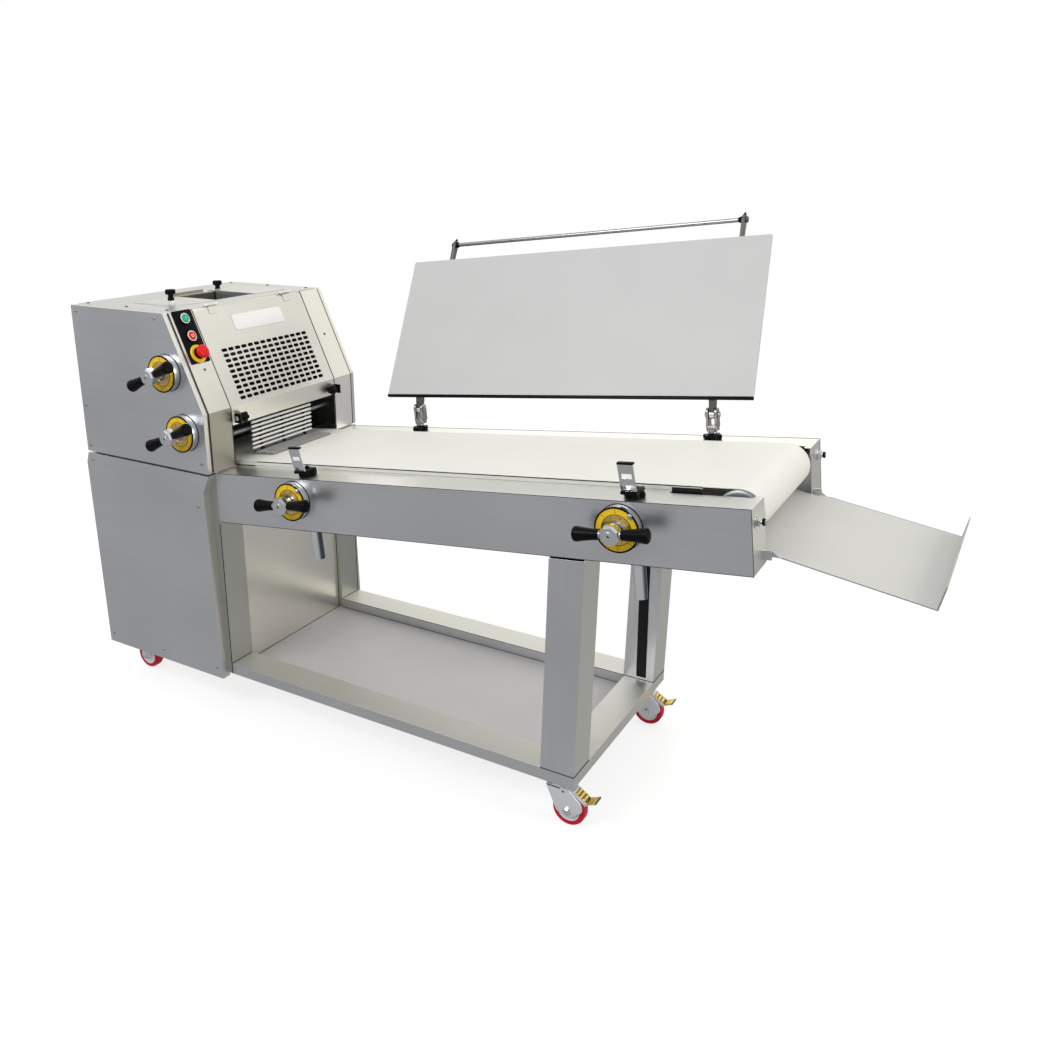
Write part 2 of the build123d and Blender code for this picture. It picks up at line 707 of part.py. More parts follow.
tension_block = block(
    (tail_u - 28, tail_u + 28), (-frame_half + rail_sheet, -292), (drum_w - 26, drum_w + 26))
tension_block -= rod_y(tail_u, (-340, -280), drum_w, tail_shaft + turn_gap)
tension_bolt = rod_x((tail_u + 28, rail_length + 22), -315, bolt_w, 6)
tension_nut = rod_x((rail_length, rail_length + 12), -315, bolt_w, 13)
tension_nut -= rod_x((rail_length - 1, rail_length + 13), -315, bolt_w, 6 + press_gap)
tension = [TILTED * piece for piece in (tension_block, tension_bolt, tension_nut)]
save("belt_tensioners", *tension, *[far(piece) for piece in tension])

tail = rod_y(tail_u, (-bed_half, bed_half), drum_w, drum_radius) + rod_y(tail_u, (-330, 330), drum_w, tail_shaft)
save("tail_roller", TILTED * tail)

drum = rod_y(drum_u, (-bed_half, bed_half), drum_w, drum_radius)
drum += rod_y(drum_u, (-plate_inner + 4, plate_inner - 4), drum_w, roller_shaft)
for chain_y in (roller_chain_y, motor_chain_y):
    drum += Pos(drum_u, 0, drum_w) * toothed(sprocket_teeth, sprocket_radius - 4, sprocket_radius, chain_y, 0)
drum_at = tilted_point(drum_u, drum_w)
save("drive_drum", solid(TILTED * drum))

# Adjusters
dials = [TILTED * dial(Location((u, -frame_half, conveyor_dial_w))) for u in conveyor_dial_u]
cover_face = -frame_half - cover_depth
for dial_at in (upper_dial, lower_dial):
    dials.append(dial(Location((dial_at[0], cover_face, dial_at[1]))))
save("index_dials", *dials)

for name, u in zip(("left", "right"), conveyor_dial_u):
    save(f"conveyor_lever_{name}", TILTED * Pos(u, -frame_half, conveyor_dial_w) * Rot(
        0, -conveyor_lever_turn, 0) * lever(conveyor_hub, 20))
for name, dial_at in (("upper", upper_dial), ("lower", lower_dial)):
    turned = lever(head_hub, cover_depth + plate_thickness + 2)
    turned += rod_y(0, (cover_depth + plate_thickness + 1, cover_depth + plate_thickness + 16), 0, 14)
    save(f"head_lever_{name}", Pos(dial_at[0], cover_face, dial_at[1]) * Rot(0, -head_lever_turn, 0) * solid(turned))

# Board posts and press board
tubes = []
nuts = []
near_posts = []
far_posts = []
straps = []
for u in post_u:
    tube = rod_z(u, -post_y, (tube_low, rail_height - rail_sheet), tube_radius)
    tube -= rod_z(u, -post_y, (tube_low - 1, rail_height), post_radius + turn_gap)
    tubes.extend([tube, far(tube)])
    nut = Pos(u, -post_y, rail_height + star_nut_height / 2) * star(
        star_nut_radius, star_nut_height, post_radius + turn_gap)
    nuts.extend([nut, far(nut)])
    foot_w = rail_height + star_nut_height + slide_gap
    foot_top = foot_w + strap_sheet
    post = rod_z(u, -post_y, (post_low, foot_top), post_radius)
    post += rod_z(u, -post_y, (foot_top, foot_top + 8), post_radius + 5)
    near_posts.append(solid(post))
    half = strap_width / 2
    strap = block((u - half, u + half), (-strap_y, -post_y + 18), (foot_w, foot_top))
    strap -= rod_z(u, -post_y, (foot_w - 1, foot_top + 1), post_radius + press_gap)
    lip_y = -strap_y - strap_lean
    strap += along_x(
        [(-strap_y, foot_w), (lip_y, strap_top), (lip_y + strap_sheet, strap_top), (-strap_y + strap_sheet, foot_w)],
        (u - half, u + half))
    strap += block((u - half, u + half), (lip_y, lip_y + strap_sheet + strap_lip), (strap_top - strap_sheet, strap_top))
    strap -= block(
        (u - strap_window[0] / 2, u + strap_window[0] / 2), (lip_y - 5, -strap_y + 10),
        (strap_window_w - strap_window[1] / 2, strap_window_w + strap_window[1] / 2))
    straps.append(solid(strap))
    far_post = rod_z(u, post_y, (post_low, 190), post_radius)
    far_post += block((u - fork_half, u + fork_half), (post_y - 12, hinge_at[0] + 17), (188, 206))
    for ear in ((u - fork_half, u - fork_slot), (u + fork_slot, u + fork_half)):
        far_post += block(ear, (hinge_at[0] - 17, hinge_at[0] + 17), (206, fork_top))
    far_post -= rod_x((u - 40, u + 40), hinge_at[0], hinge_at[1], hinge_pin + press_gap)
    far_posts.append(solid(far_post))
    far_posts.append(rod_x((u - fork_half - 3, u + fork_half + 3), hinge_at[0], hinge_at[1], hinge_pin))
save("guide_tubes", *[TILTED * piece for piece in tubes])
save("post_star_nuts", *[TILTED * piece for piece in nuts])
save("board_posts", *[TILTED * piece for piece in near_posts + far_posts])
save("catch_straps", *[TILTED * piece for piece in straps])

board_corners = ((0, 0), (board_width, 0), (board_width, board_thickness), (0, board_thickness))
board = [along_x([on_board(s, n) for s, n in board_corners], (board_start, board_end))]
pin_s = (hinge_at[0] - board_edge[0]) * cos(board_a) + (hinge_at[1] - board_edge[1]) * sin(board_a)
pin_n = (hinge_at[0] - board_edge[0]) * sin(board_a) - (hinge_at[1] - board_edge[1]) * cos(board_a)
leaf_points = (
    (10, board_thickness), (90, board_thickness), (90, board_thickness + 8), (20, pin_n), (pin_s, pin_n + 13),
    (pin_s, pin_n - 13))
for u in post_u:
    span = (u - leaf_half, u + leaf_half)
    leaf = along_x([on_board(s, n) for s, n in leaf_points], span)
    leaf += rod_x(span, hinge_at[0], hinge_at[1], 13)
    leaf -= rod_x((u - 40, u + 40), hinge_at[0], hinge_at[1], hinge_pin + turn_gap)
    board.append(solid(leaf))
save("press_board", *[TILTED * piece for piece in board])

rod_at = on_board(handle_reach, handle_behind)
handle = rod_x((handle_u[0] - 8, handle_u[1] + 8), rod_at[0], rod_at[1], handle_radius)
bracket_points = (
    (470, board_thickness), (board_width - 6, board_thickness), (handle_reach, handle_behind - 10),
    (handle_reach + handle_end, handle_behind - 5), (handle_reach + handle_end, handle_behind + 7),
    (handle_reach, handle_behind + 10), (520, board_thickness + 16), (470, board_thickness + 8))
for u in handle_u:
    handle += along_x([on_board(s, n) for s, n in bracket_points], (u - handle_bracket, u + handle_bracket))
save("handle_rod", TILTED * solid(handle))

# Sheeting rollers
bearings = []
for x, z in (upper_fixed, lower_fixed, drum_at):
    housing = rod_y(x, (-plate_inner, -plate_inner + bearing_depth), z, bearing_radius)
    housing -= rod_y(x, (-plate_inner - 1, -300), z, roller_shaft + turn_gap)
    bearings.extend([housing, far(housing)])
save("roller_bearings", *bearings)


def roller(at, phase, chained, shaft_half):
    x, z = at
    body = rod_y(x, (-roller_half, roller_half), z, roller_radius)
    body += rod_y(x, (-shaft_half, shaft_half), z, roller_shaft)
    body += Pos(x, 0, z) * toothed(
        gear_teeth, pitch_radius - gear_dedendum, pitch_radius + gear_addendum, gear_y, phase)
    if chained:
        body += Pos(x, 0, z) * toothed(
            sprocket_teeth, sprocket_radius - 4, sprocket_radius, roller_chain_y, 0)
    return solid(body)


save("upper_fixed_roller", roller(upper_fixed, 0, True, plate_inner - 4))
save("lower_fixed_roller", roller(lower_fixed, 0, True, plate_inner - 4))
save("upper_moving_roller", roller(upper_moving, 0.5, False, plate_inner - 6))
save("lower_moving_roller", roller(lower_moving, 0.5, False, plate_inner - 6))

for name, (x, z) in (("upper", upper_moving), ("lower", lower_moving)):
    carrier = block(
        (x - block_half_x, x + block_half_x),
        (-plate_inner + slide_gap, -plate_inner + block_depth),
        (z - block_half_z, z + block_half_z))
    carrier -= rod_y(x, (-plate_inner - 1, -300), z, roller_shaft + turn_gap)
    save(f"{name}_slide_blocks", carrier, far(carrier))

# Drive
base_plate_z = base_bottom + shelf_sheet
stand_box = block(
    (motor_at[0] - 70, motor_at[0] + 70), (-150, 270), (base_plate_z, motor_at[1] - 80))
stand_box -= block(
    (motor_at[0] - 64, motor_at[0] + 64), (-150, 270), (base_plate_z, motor_at[1] - 86))
gearbox = block((motor_at[0] - 65, motor_at[0] + 65), (90, 270), (motor_at[1] - 80, motor_at[1] + 80))
gearbox -= rod_y(motor_at[0], (200, 271), motor_at[1], motor_shaft + turn_gap)
motor = rod_y(motor_at[0], (-190, 90), motor_at[1], 76)
save("gearmotor", stand_box, gearbox, motor)
spindle = rod_y(motor_at[0], (210, motor_chain_y[1] + 4), motor_at[1], motor_shaft)
spindle += Pos(motor_at[0], 0, motor_at[1]) * toothed(
    sprocket_teeth, sprocket_radius - 4, sprocket_radius, motor_chain_y, 0)
save("motor_sprocket", solid(spindle))


def chain(centres, y):
    spine = outline_y(centres)
    outer = offset(spine, amount=chain_outer, kind=Kind.ARC)
    inner = offset(spine, amount=chain_inner, kind=Kind.ARC)
    return Pos(0, y[0], 0) * extrude(outer - inner, amount=y[1] - y[0], dir=(0, 1, 0))


roller_chain = chain([drum_at, lower_fixed, upper_fixed], roller_chain_y)
chain_length = drum_at[1] - motor_at[1]
drive_slot = SlotCenterToCenter(chain_length, 2 * chain_outer, rotation=90)
drive_slot -= SlotCenterToCenter(chain_length, 2 * chain_inner, rotation=90)
motor_chain = Pos((motor_at[0] + drum_at[0]) / 2, motor_chain_y[1], (motor_at[1] + drum_at[1]) / 2) * Rot(
    90, 0, 0) * extrude(drive_slot, amount=motor_chain_y[1] - motor_chain_y[0])
save("drive_chains", roller_chain, motor_chain)

# Castors
def wheel(x, y):
    body = rod_y(x, (y - wheel_half, y + wheel_half), wheel_radius, wheel_radius)
    body += rod_y(x, (y - hub_half, y + hub_half), wheel_radius, 19)
    return solid(body - rod_y(x, (y - 30, y + 30), wheel_radius, axle_radius + turn_gap))


def plate_at(x, y):
    half_x, half_y = castor_plate[0] / 2, castor_plate[1] / 2
    return block((x - half_x, x + half_x), (y - half_y, y + half_y), (base_bottom - castor_plate[2], base_bottom))


def cheeks(points, y):
    pair = along_y(points, (y - cheek_outer, y - cheek_inner))
    return pair + along_y(points, (y + cheek_inner, y + cheek_outer))


kx, ky = swivel
plate_low = base_bottom - castor_plate[2]
swivel_plate = plate_at(kx, -ky) + rod_z(kx, -ky, (cup_bottom, plate_low), 30)
swivel_plate -= rod_z(kx, -ky, (cup_bottom - 1, plate_low), axle_radius + turn_gap)
rx, ry = rear_castor_x, rear_castor_y
rear_fork = plate_at(rx, -ry) + block(
    (rx - 36, rx + 36), (-ry - cheek_outer, -ry + cheek_outer), (plate_low - 6, plate_low))
rear_fork += cheeks([(rx - 36, plate_low), (rx + 36, plate_low), (rx + 14, 38), (rx - 14, 38)], -ry)
rear_fork += rod_y(rx, (-ry - cheek_outer, -ry + cheek_outer), wheel_radius, axle_radius)
plates = [solid(swivel_plate), solid(rear_fork)]
save("castor_plates", *plates, *[far(piece) for piece in plates])

fork = block((kx - 30, kx + 34), (-ky - cheek_outer, -ky + cheek_outer), (crown_bottom, crown_top))
fork += rod_z(kx, -ky, (crown_top, cup_bottom - slide_gap), 24)
fork += rod_z(kx, -ky, (crown_top, plate_low - 1), axle_radius)
fork += cheeks(
    [(kx - 34, crown_top), (kx + 36, crown_top), (axle_x + 22, 66), (axle_x + 14, 36), (axle_x - 10, 30),
     (axle_x - 34, 44)], -ky)
fork += rod_y(axle_x, (-ky - cheek_outer, -ky + cheek_outer), wheel_radius, axle_radius)
fork -= rod_y(pedal_pivot[0], (-400, -200), pedal_pivot[1], 4 + turn_gap)
fork -= block((pedal_pivot[0] - 8, base_end + 100), (-ky - cheek_inner, -ky + cheek_inner), (100, crown_top + 1))
save("castor_fork_near", solid(fork))
save("castor_fork_far", solid(far(fork)))

px, pz = pedal_pivot
pedal = along_y(
    [(px - 4, pz - 4), (px - 4, pz + 5), (px + 32, pz + 2), (px + 70, pz - 20), (px + pedal_reach, pz - 8),
     (px + pedal_reach, pz - 12), (px + 70, pz - 26), (px + 34, pz - 6)], (-ky - pedal_half, -ky + pedal_half))
pedal += rod_y(px, (-ky - cheek_outer, -ky + cheek_outer), pz, 4)
save("brake_pedal_near", solid(pedal))
save("brake_pedal_far", solid(far(pedal)))

save("castor_wheel_near", wheel(axle_x, -ky))
save("castor_wheel_far", wheel(axle_x, ky))
save("rear_wheel_near", wheel(rx, -ry))
save("rear_wheel_far", wheel(rx, ry))

# Curling mat
belt_slope = tan(radians(tilt))


def belt_z(x):
    return conveyor_foot + belt_top / cos(radians(tilt)) + (x - cabinet_length) * belt_slope


first_bar = mat_hanger[1] - 14
bars_at = [(mat_x, first_bar - i * mat_pitch) for i in range(mat_bars)]
for i in range(mat_trail_bars):
    x = mat_x + 12 + i * mat_pitch
    bars_at.append((x, belt_z(x) + mat_bar + seat_gap))
mat = rod_y(bars_at[0][0], (-mat_half, mat_half), bars_at[0][1], mat_bar)
for x, z in bars_at[1:]:
    mat += rod_y(x, (-mat_half, mat_half), z, mat_bar)
for y in (-110.0, 0.0, 110.0):
    links = [mat_hanger] + bars_at
    for (x0, z0), (x1, z1) in zip(links, links[1:]):
        run = hypot(x1 - x0, z1 - z0)
        nx, nz = -(z1 - z0) / run * 1.5, (x1 - x0) / run * 1.5
        mat += along_y([(x0 + nx, z0 + nz), (x1 + nx, z1 + nz), (x1 - nx, z1 - nz), (x0 - nx, z0 - nz)], (y - 8, y + 8))
    mat += rod_y(mat_hanger[0], (y - 8, y + 8), mat_hanger[1], hanger_radius + 3)
mat -= rod_y(mat_hanger[0], (-400, 400), mat_hanger[1], hanger_radius + turn_gap)
save("curling_mat", solid(mat))

# Catch tray
tray_x, tray_z = tilted_point(*tray_hinge)
tray_end = (tray_x + tray_reach[0], tray_z + tray_reach[1])
tray_lip = (tray_end[0] + tray_rise[0], tray_end[1] + tray_rise[1])
tongue_x = tray_x - tongue_reach
floor_run = hypot(tray_end[0] - tray_x, tray_end[1] - tray_z)
fx, fz = (tray_end[0] - tray_x) / floor_run, (tray_end[1] - tray_z) / floor_run
tray = along_y(
    [(tray_x + 6, tray_z + 6 * fz / fx), tray_end, tray_lip, (tray_lip[0] + tray_sheet, tray_lip[1]),
     (tray_end[0] + tray_sheet * 0.8, tray_end[1] - tray_sheet), (tray_x + 6, tray_z + 6 * fz / fx - tray_sheet)],
    (-tray_half, tray_half))
tongue = along_y(
    [(tongue_x, tray_z + (tongue_x - tray_x) * fz / fx), (tray_x + 8, tray_z + 8 * fz / fx),
     (tray_x + 8, tray_z + 8 * fz / fx - tray_sheet),
     (tongue_x, tray_z + (tongue_x - tray_x) * fz / fx - tray_sheet)], (-tongue_half, tongue_half))
tray_ear_y = (-tray_half, -tray_half + tray_ear)
ear = along_y(
    [(tray_x - 7, tray_z - 7), (tray_x - 7, tray_z + 7), (tray_x + 8, tray_z + 7),
     (tray_x + 24, tray_z + 24 * fz / fx), (tray_x + 24, tray_z + 24 * fz / fx - tray_sheet),
     (tray_x + 6, tray_z - 7)], tray_ear_y)
ear -= rod_y(tray_x, (-300, -200), tray_z, tray_pin + turn_gap)
save("catch_tray", solid(tray + tongue + ear + far(ear)))
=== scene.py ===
import json
import math

import bmesh
import bpy
from mathutils import Matrix, Vector


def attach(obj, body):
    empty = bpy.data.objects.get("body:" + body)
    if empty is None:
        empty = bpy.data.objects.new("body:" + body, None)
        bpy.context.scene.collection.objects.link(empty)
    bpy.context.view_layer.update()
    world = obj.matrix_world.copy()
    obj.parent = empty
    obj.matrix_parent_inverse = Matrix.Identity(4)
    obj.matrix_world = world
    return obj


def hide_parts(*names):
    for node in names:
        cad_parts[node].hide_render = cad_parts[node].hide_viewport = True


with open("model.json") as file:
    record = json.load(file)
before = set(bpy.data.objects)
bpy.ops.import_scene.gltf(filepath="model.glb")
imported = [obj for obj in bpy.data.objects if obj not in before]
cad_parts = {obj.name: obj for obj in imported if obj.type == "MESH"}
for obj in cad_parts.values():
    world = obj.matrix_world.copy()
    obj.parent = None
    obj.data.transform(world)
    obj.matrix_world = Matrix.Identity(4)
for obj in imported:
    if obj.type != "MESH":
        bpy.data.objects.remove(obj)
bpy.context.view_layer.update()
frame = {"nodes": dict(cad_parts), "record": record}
nodes = frame["nodes"]

# Pieces are modelled in millimetres, x from the rear of the cabinet, and set into the frame at the end
stand_x = 1364.0
cabinet_front, rail_foot = 585.0, 698.0
belt_slope = math.radians(6)
TO_FRAME = Matrix.Translation((-stand_x / 1000, 0, 0)) @ Matrix.Scale(0.001, 4)
TILTED = Matrix.Translation((cabinet_front, 0, rail_foot)) @ Matrix.Rotation(-belt_slope, 4, "Y")
NEARWARD = Matrix.Rotation(math.pi / 2, 4, "X")
FARWARD = Matrix.Rotation(-math.pi / 2, 4, "X")
ALONG_X = Matrix.Rotation(math.pi / 2, 4, "Y")
SIDE_ON = Matrix(((0, 0, 1, 0), (1, 0, 0, 0), (0, -1, 0, 0), (0, 0, 0, 1)))
frame_half = 350.0
cover_face = -382.0
head_top = (444.0, 1380.0)
slope_run, slope_drop = 144.0, 315.0
slope_length = math.hypot(slope_run, slope_drop)
post_u = (375.0, 1450.0)
post_y = 308.0
rail_height = 165.0
post_spots = [(u, y) for u in post_u for y in (-post_y, post_y)]


def at(x, y, z):
    return Matrix.Translation((x, y, z))


def turn(degrees, axis):
    return Matrix.Rotation(math.radians(degrees), 4, axis)


def on_slope(s, y):
    x = head_top[0] + s * slope_run / slope_length
    z = head_top[1] - s * slope_drop / slope_length
    return at(x, y, z) @ Matrix.Rotation(math.atan2(slope_drop, slope_run), 4, "Y")


# Shapes


def turned(profile, steps=40, ring=False):
    bm = bmesh.new()
    verts = [bm.verts.new((radius, 0, height)) for radius, height in profile]
    edges = [bm.edges.new(pair) for pair in zip(verts, verts[1:])]
    if ring:
        edges.append(bm.edges.new((verts[-1], verts[0])))
    bmesh.ops.spin(bm, geom=verts + edges, axis=(0, 0, 1), angle=2 * math.pi, steps=steps, use_merge=True)
    bmesh.ops.remove_doubles(bm, verts=bm.verts[:], dist=0.001)
    bmesh.ops.recalc_face_normals(bm, faces=bm.faces[:])
    return bm


def raise_faces(bm, thickness):
    grown = bmesh.ops.extrude_face_region(bm, geom=bm.faces[:])
    top = [v for v in grown["geom"] if isinstance(v, bmesh.types.BMVert)]
    bmesh.ops.translate(bm, verts=top, vec=(0, 0, thickness))
    bmesh.ops.recalc_face_normals(bm, faces=bm.faces[:])


def bevel(bm, geom, offset, affect, segments):
    bmesh.ops.bevel(
        bm, geom=geom, offset=offset, offset_type="OFFSET", affect=affect, segments=segments, profile=0.5,
        material=-1, clamp_overlap=True)


def ease_edges(bm, edge, steps=2, sharp=30):
    if edge > 0:
        rims = [e for e in bm.edges if len(e.link_faces) == 2 and e.calc_face_angle() > math.radians(sharp)]
        bevel(bm, rims, edge, "EDGES", steps)


def plate(points, thickness, corner=0.0, edge=0.0):
    bm = bmesh.new()
    bm.faces.new([bm.verts.new((x, y, 0)) for x, y in points])
    if corner:
        bevel(bm, bm.verts[:], corner, "VERTICES", 5)
    raise_faces(bm, thickness)
    ease_edges(bm, edge)
    return bm


def oblong(width, height):
    half_x, half_y = width / 2, height / 2
    return [(-half_x, -half_y), (half_x, -half_y), (half_x, half_y), (-half_x, half_y)]


def round_box(x, y, z, edge=1.0, steps=2):
    bm = bmesh.new()
    bmesh.ops.create_cube(bm, size=1.0)
    bmesh.ops.scale(bm, vec=(x, y, z), verts=bm.verts[:])
    ease_edges(bm, edge, steps)
    return bm


def lobed(radius, height, lobes=6, dip=0.24, edge=4.0):
    bm = bmesh.new()
    bmesh.ops.create_circle(bm, cap_ends=True, radius=radius, segments=lobes * 12)
    for v in bm.verts:
        wave = 0.5 - 0.5 * math.cos(lobes * math.atan2(v.co.y, v.co.x))
        v.co *= 1 - dip * wave ** 1.6
    raise_faces(bm, height)
    ease_edges(bm, edge, 4, 60)
    return bm


def tab(half, low, high, thickness, edge=0.6):
    bm = bmesh.new()
    start = bm.verts.new((half, high, 0))
    bmesh.ops.spin(bm, geom=[start], axis=(0, 0, 1), cent=(0, high, 0), angle=math.pi, steps=14)
    bm.verts.ensure_lookup_table()
    ends = [v for v in bm.verts if len(v.link_edges) == 1]
    ends.sort(key=lambda v: v.co.x)
    corners = [bm.verts.new((-half, low, 0)), bm.verts.new((half, low, 0))]
    bm.edges.new((ends[0], corners[0]))
    bm.edges.new(corners)
    bm.edges.new((corners[1], ends[1]))
    bmesh.ops.contextual_create(bm, geom=bm.edges[:])
    raise_faces(bm, thickness)
    ease_edges(bm, edge)
    return bm


def windowed(width, low, high, window, window_at, thickness, edge=0.5):
    bm = bmesh.new()
    edges = []
    for size, middle in (((width, high - low), (low + high) / 2), (window, window_at)):
        rim = [bm.verts.new((x, y + middle, 0)) for x, y in oblong(*size)]
        edges += [bm.edges.new(pair) for pair in zip(rim, rim[1:] + rim[:1])]
    bmesh.ops.triangle_fill(bm, edges=edges, use_beauty=True, use_dissolve=False, normal=(0, 0, 1))
    raise_faces(bm, thickness)
    ease_edges(bm, edge)
    return bm


def rod(radius, length, edge=0.8, steps=28, bore=0.0):
    rim = [(radius - edge, 0), (radius, edge), (radius, length - edge), (radius - edge, length)]
    return turned([(bore, 0)] + rim + [(bore, length)], steps, bore > 0)


def tube(bore, radius, length, edge=0.8, steps=32):
    return rod(radius, length, edge, steps, bore)


def hex_nut(radius, height, bore=0.0):
    return rod(radius, height, radius * 0.12, 6, bore)


def dome_screw(radius, height):
    socket = radius * 0.42
    return turned(
        [(0, height * 0.35), (socket, height * 0.35), (socket, height * 0.96), (radius * 0.62, height),
         (radius * 0.9, height * 0.68), (radius, height * 0.2), (radius, 0), (0, 0)], 20)


# A finish is given by its number in the list that the piece gets, and is the first if none is given
def place(target, part, where, finish=0):
    for face in part.faces:
        face.material_index = finish
    part.transform(where)
    if where.determinant() < 0:
        bmesh.ops.reverse_faces(part, faces=part.faces[:])
    scrap = bpy.data.meshes.new("scrap")
    part.to_mesh(scrap)
    part.free()
    target.from_mesh(scrap)
    bpy.data.meshes.remove(scrap)


def number(target, text, height, where, finish):
    curve = bpy.data.curves.new("number", "FONT")
    curve.body = text
    curve.size = height
    curve.extrude = 0.12
    curve.resolution_u = 2
    curve.align_x = "CENTER"
    curve.align_y = "CENTER"
    holder = bpy.data.objects.new("number", curve)
    mesh = bpy.data.meshes.new_from_object(holder)
    part = bmesh.new()
    part.from_mesh(mesh)
    place(target, part, where, finish)
    bpy.data.objects.remove(holder)
    bpy.data.curves.remove(curve)
    bpy.data.meshes.remove(mesh)


def piece(name, bm, body, slot, finishes, *stands_for):
    bm.transform(TO_FRAME)
    mesh = bpy.data.meshes.new(name)
    bm.to_mesh(mesh)
    bm.free()
    mesh.polygons.foreach_set("use_smooth", [True] * len(mesh.polygons))
    mesh.set_sharp_from_angle(angle=math.radians(33))
    for finish in finishes:
        mesh.materials.append(FINISH[finish])
    obj = bpy.data.objects.new(name, mesh)
    bpy.context.scene.collection.objects.link(obj)
    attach(obj, body)
    if stands_for:
        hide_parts(*stands_for)
    return obj


def own_piece(name, bm, node, slot, finishes):
    piece(name, bm, node, slot, finishes, node)


# Finishes


def feed(link, node, settings):
    for socket, value in settings.items():
        if isinstance(value, bpy.types.NodeSocket):
            link(value, node.inputs[socket])
        else:
            node.inputs[socket].default_value = value


def worked(tree, link, operation, *terms):
    step = tree.new("ShaderNodeMath")
    step.operation = operation
    feed(link, step, dict(enumerate(terms)))
    return step.outputs[0]


def vector_step(tree, link, operation, *terms):
    step = tree.new("ShaderNodeVectorMath")
    step.operation = operation
    feed(link, step, dict(enumerate(terms)))
    return step.outputs


def spread(tree, link, value, low, high, start=0.3, end=0.7):
    span = tree.new("ShaderNodeMapRange")
    feed(link, span, {"Value": value, "From Min": start, "From Max": end, "To Min": low, "To Max": high})
    return span.outputs["Result"]


def noise(tree, link, where, scale, detail, roughness=0.5):
    speckle = tree.new("ShaderNodeTexNoise")
    feed(link, speckle, {"Vector": where, "Scale": scale, "Detail": detail, "Roughness": roughness})
    return speckle.outputs["Fac"]


def blended(tree, link, blend, share, below, over):
    mix = tree.new("ShaderNodeMix")
    mix.data_type = "RGBA"
    mix.blend_type = blend
    feed(link, mix, {"Factor": share, "A": below, "B": over})
    return mix.outputs["Result"]


def toned(tree, link, colour, tone):
    return blended(tree, link, "MULTIPLY", 1.0, colour, tone)


def masked(tree, link, below, mask, colour):
    return blended(tree, link, "MIX", mask, below, (*colour, 1))


def bumped(tree, link, shader, height, strength, distance, rim=None):
    bump = tree.new("ShaderNodeBump")
    feed(link, bump, {"Strength": strength, "Distance": distance, "Height": height})
    if rim:
        link(rim, bump.inputs["Normal"])
    link(bump.outputs["Normal"], shader.inputs["Normal"])


def new_group(name, takes, gives):
    group = bpy.data.node_groups.new(name, "ShaderNodeTree")
    for way, sockets in (("INPUT", takes), ("OUTPUT", gives)):
        for socket, kind in sockets.items():
            group.interface.new_socket(socket, in_out=way, socket_type="NodeSocket" + kind)
    enter = group.nodes.new("NodeGroupInput")
    leave = group.nodes.new("NodeGroupOutput")
    return group, group.nodes, group.links.new, enter.outputs, leave.inputs


def grouped(tree, link, group, **settings):
    box = tree.new("ShaderNodeGroup")
    box.node_tree = group
    feed(link, box, settings)
    return box.outputs


def grain_group():
    group, tree, link, enter, leave = new_group(
        "sheet_grain", {"Grain": "Vector"}, {"Tone": "Float", "Streak": "Float"})
    spot = tree.new("ShaderNodeTexCoord").outputs["Object"]
    stretched = vector_step(tree, link, "MULTIPLY", spot, enter["Grain"])[0]
    lines = noise(tree, link, stretched, 1.0, 4.0, 0.7)
    cloud = noise(tree, link, spot, 2.3, 2.0)
    soft = spread(tree, link, cloud, 0.93, 1.05)
    line_tone = spread(tree, link, lines, 0.95, 1.04, 0.25, 0.75)
    link(worked(tree, link, "MULTIPLY", soft, line_tone), leave["Tone"])
    link(lines, leave["Streak"])
    return group


# Bevel normals for rounded edges, and a mask of the edges that brushed finishes lighten as a painted
# highlight
def edge_group():
    group, tree, link, enter, leave = new_group(
        "edge_bevel_highlight", {"Radius": "Float"}, {"Edge": "Float", "Normal": "Vector"})
    eased = tree.new("ShaderNodeBevel")
    eased.samples = 4
    link(enter["Radius"], eased.inputs["Radius"])
    surface = tree.new("ShaderNodeNewGeometry")
    agree = vector_step(tree, link, "DOT_PRODUCT", eased.outputs["Normal"], surface.outputs["Normal"])
    link(spread(tree, link, agree["Value"], 0.0, 1.0, 0.995, 0.85), leave["Edge"])
    link(eased.outputs["Normal"], leave["Normal"])
    return group


def speck_group():
    group, tree, link, enter, leave = new_group(
        "moulded_specks", {"Scale": "Float"}, {"Tone": "Float", "Grit": "Float"})
    spot = tree.new("ShaderNodeTexCoord").outputs["Object"]
    cloud = noise(tree, link, spot, 6.0, 2.0)
    link(spread(tree, link, cloud, 0.985, 1.012), leave["Tone"])
    link(noise(tree, link, spot, enter["Scale"], 3.0), leave["Grit"])
    return group


# Masks by the way a face points, used to paint light on tops and +X faces
def painted_light_group():
    group, tree, link, _, leave = new_group("painted_light_by_facing", {}, {"Top": "Float", "Front": "Float"})
    sides = tree.new("ShaderNodeSeparateXYZ")
    link(tree.new("ShaderNodeTexCoord").outputs["Normal"], sides.inputs[0])
    for name, axis in (("Top", "Z"), ("Front", "X")):
        link(spread(tree, link, sides.outputs[axis], 0.0, 1.0, 0.6, 0.9), leave[name])
    return group


GRAIN = grain_group()
EDGES = edge_group()
SPECKS = speck_group()
PAINTED_LIGHT_FACING = painted_light_group()
FINISH = {}
# Edges of brushed steel are lightened in colour: a painted highlight
edge_highlight_share, edge_highlight_gain = 0.35, 1.25


def start_finish(name, colour, roughness, metallic):
    material = bpy.data.materials.new(name)
    material.use_nodes = True
    material.diffuse_color = (*colour, 1)
    tree = material.node_tree.nodes
    link = material.node_tree.links.new
    shader = tree["Principled BSDF"]
    feed(link, shader, {"Metallic": metallic, "Roughness": roughness, "Base Color": (*colour, 1)})
    FINISH[name] = material
    return tree, link, shader


def beyond(axis, level):
    return lambda tree, link, spot: worked(tree, link, "GREATER_THAN", spot[axis], level)


def short_of(axis, level):
    return lambda tree, link, spot: worked(tree, link, "LESS_THAN", spot[axis], level)


def joined(operation, first, second):
    return lambda tree, link, spot: worked(
        tree, link, operation, first(tree, link, spot), second(tree, link, spot))


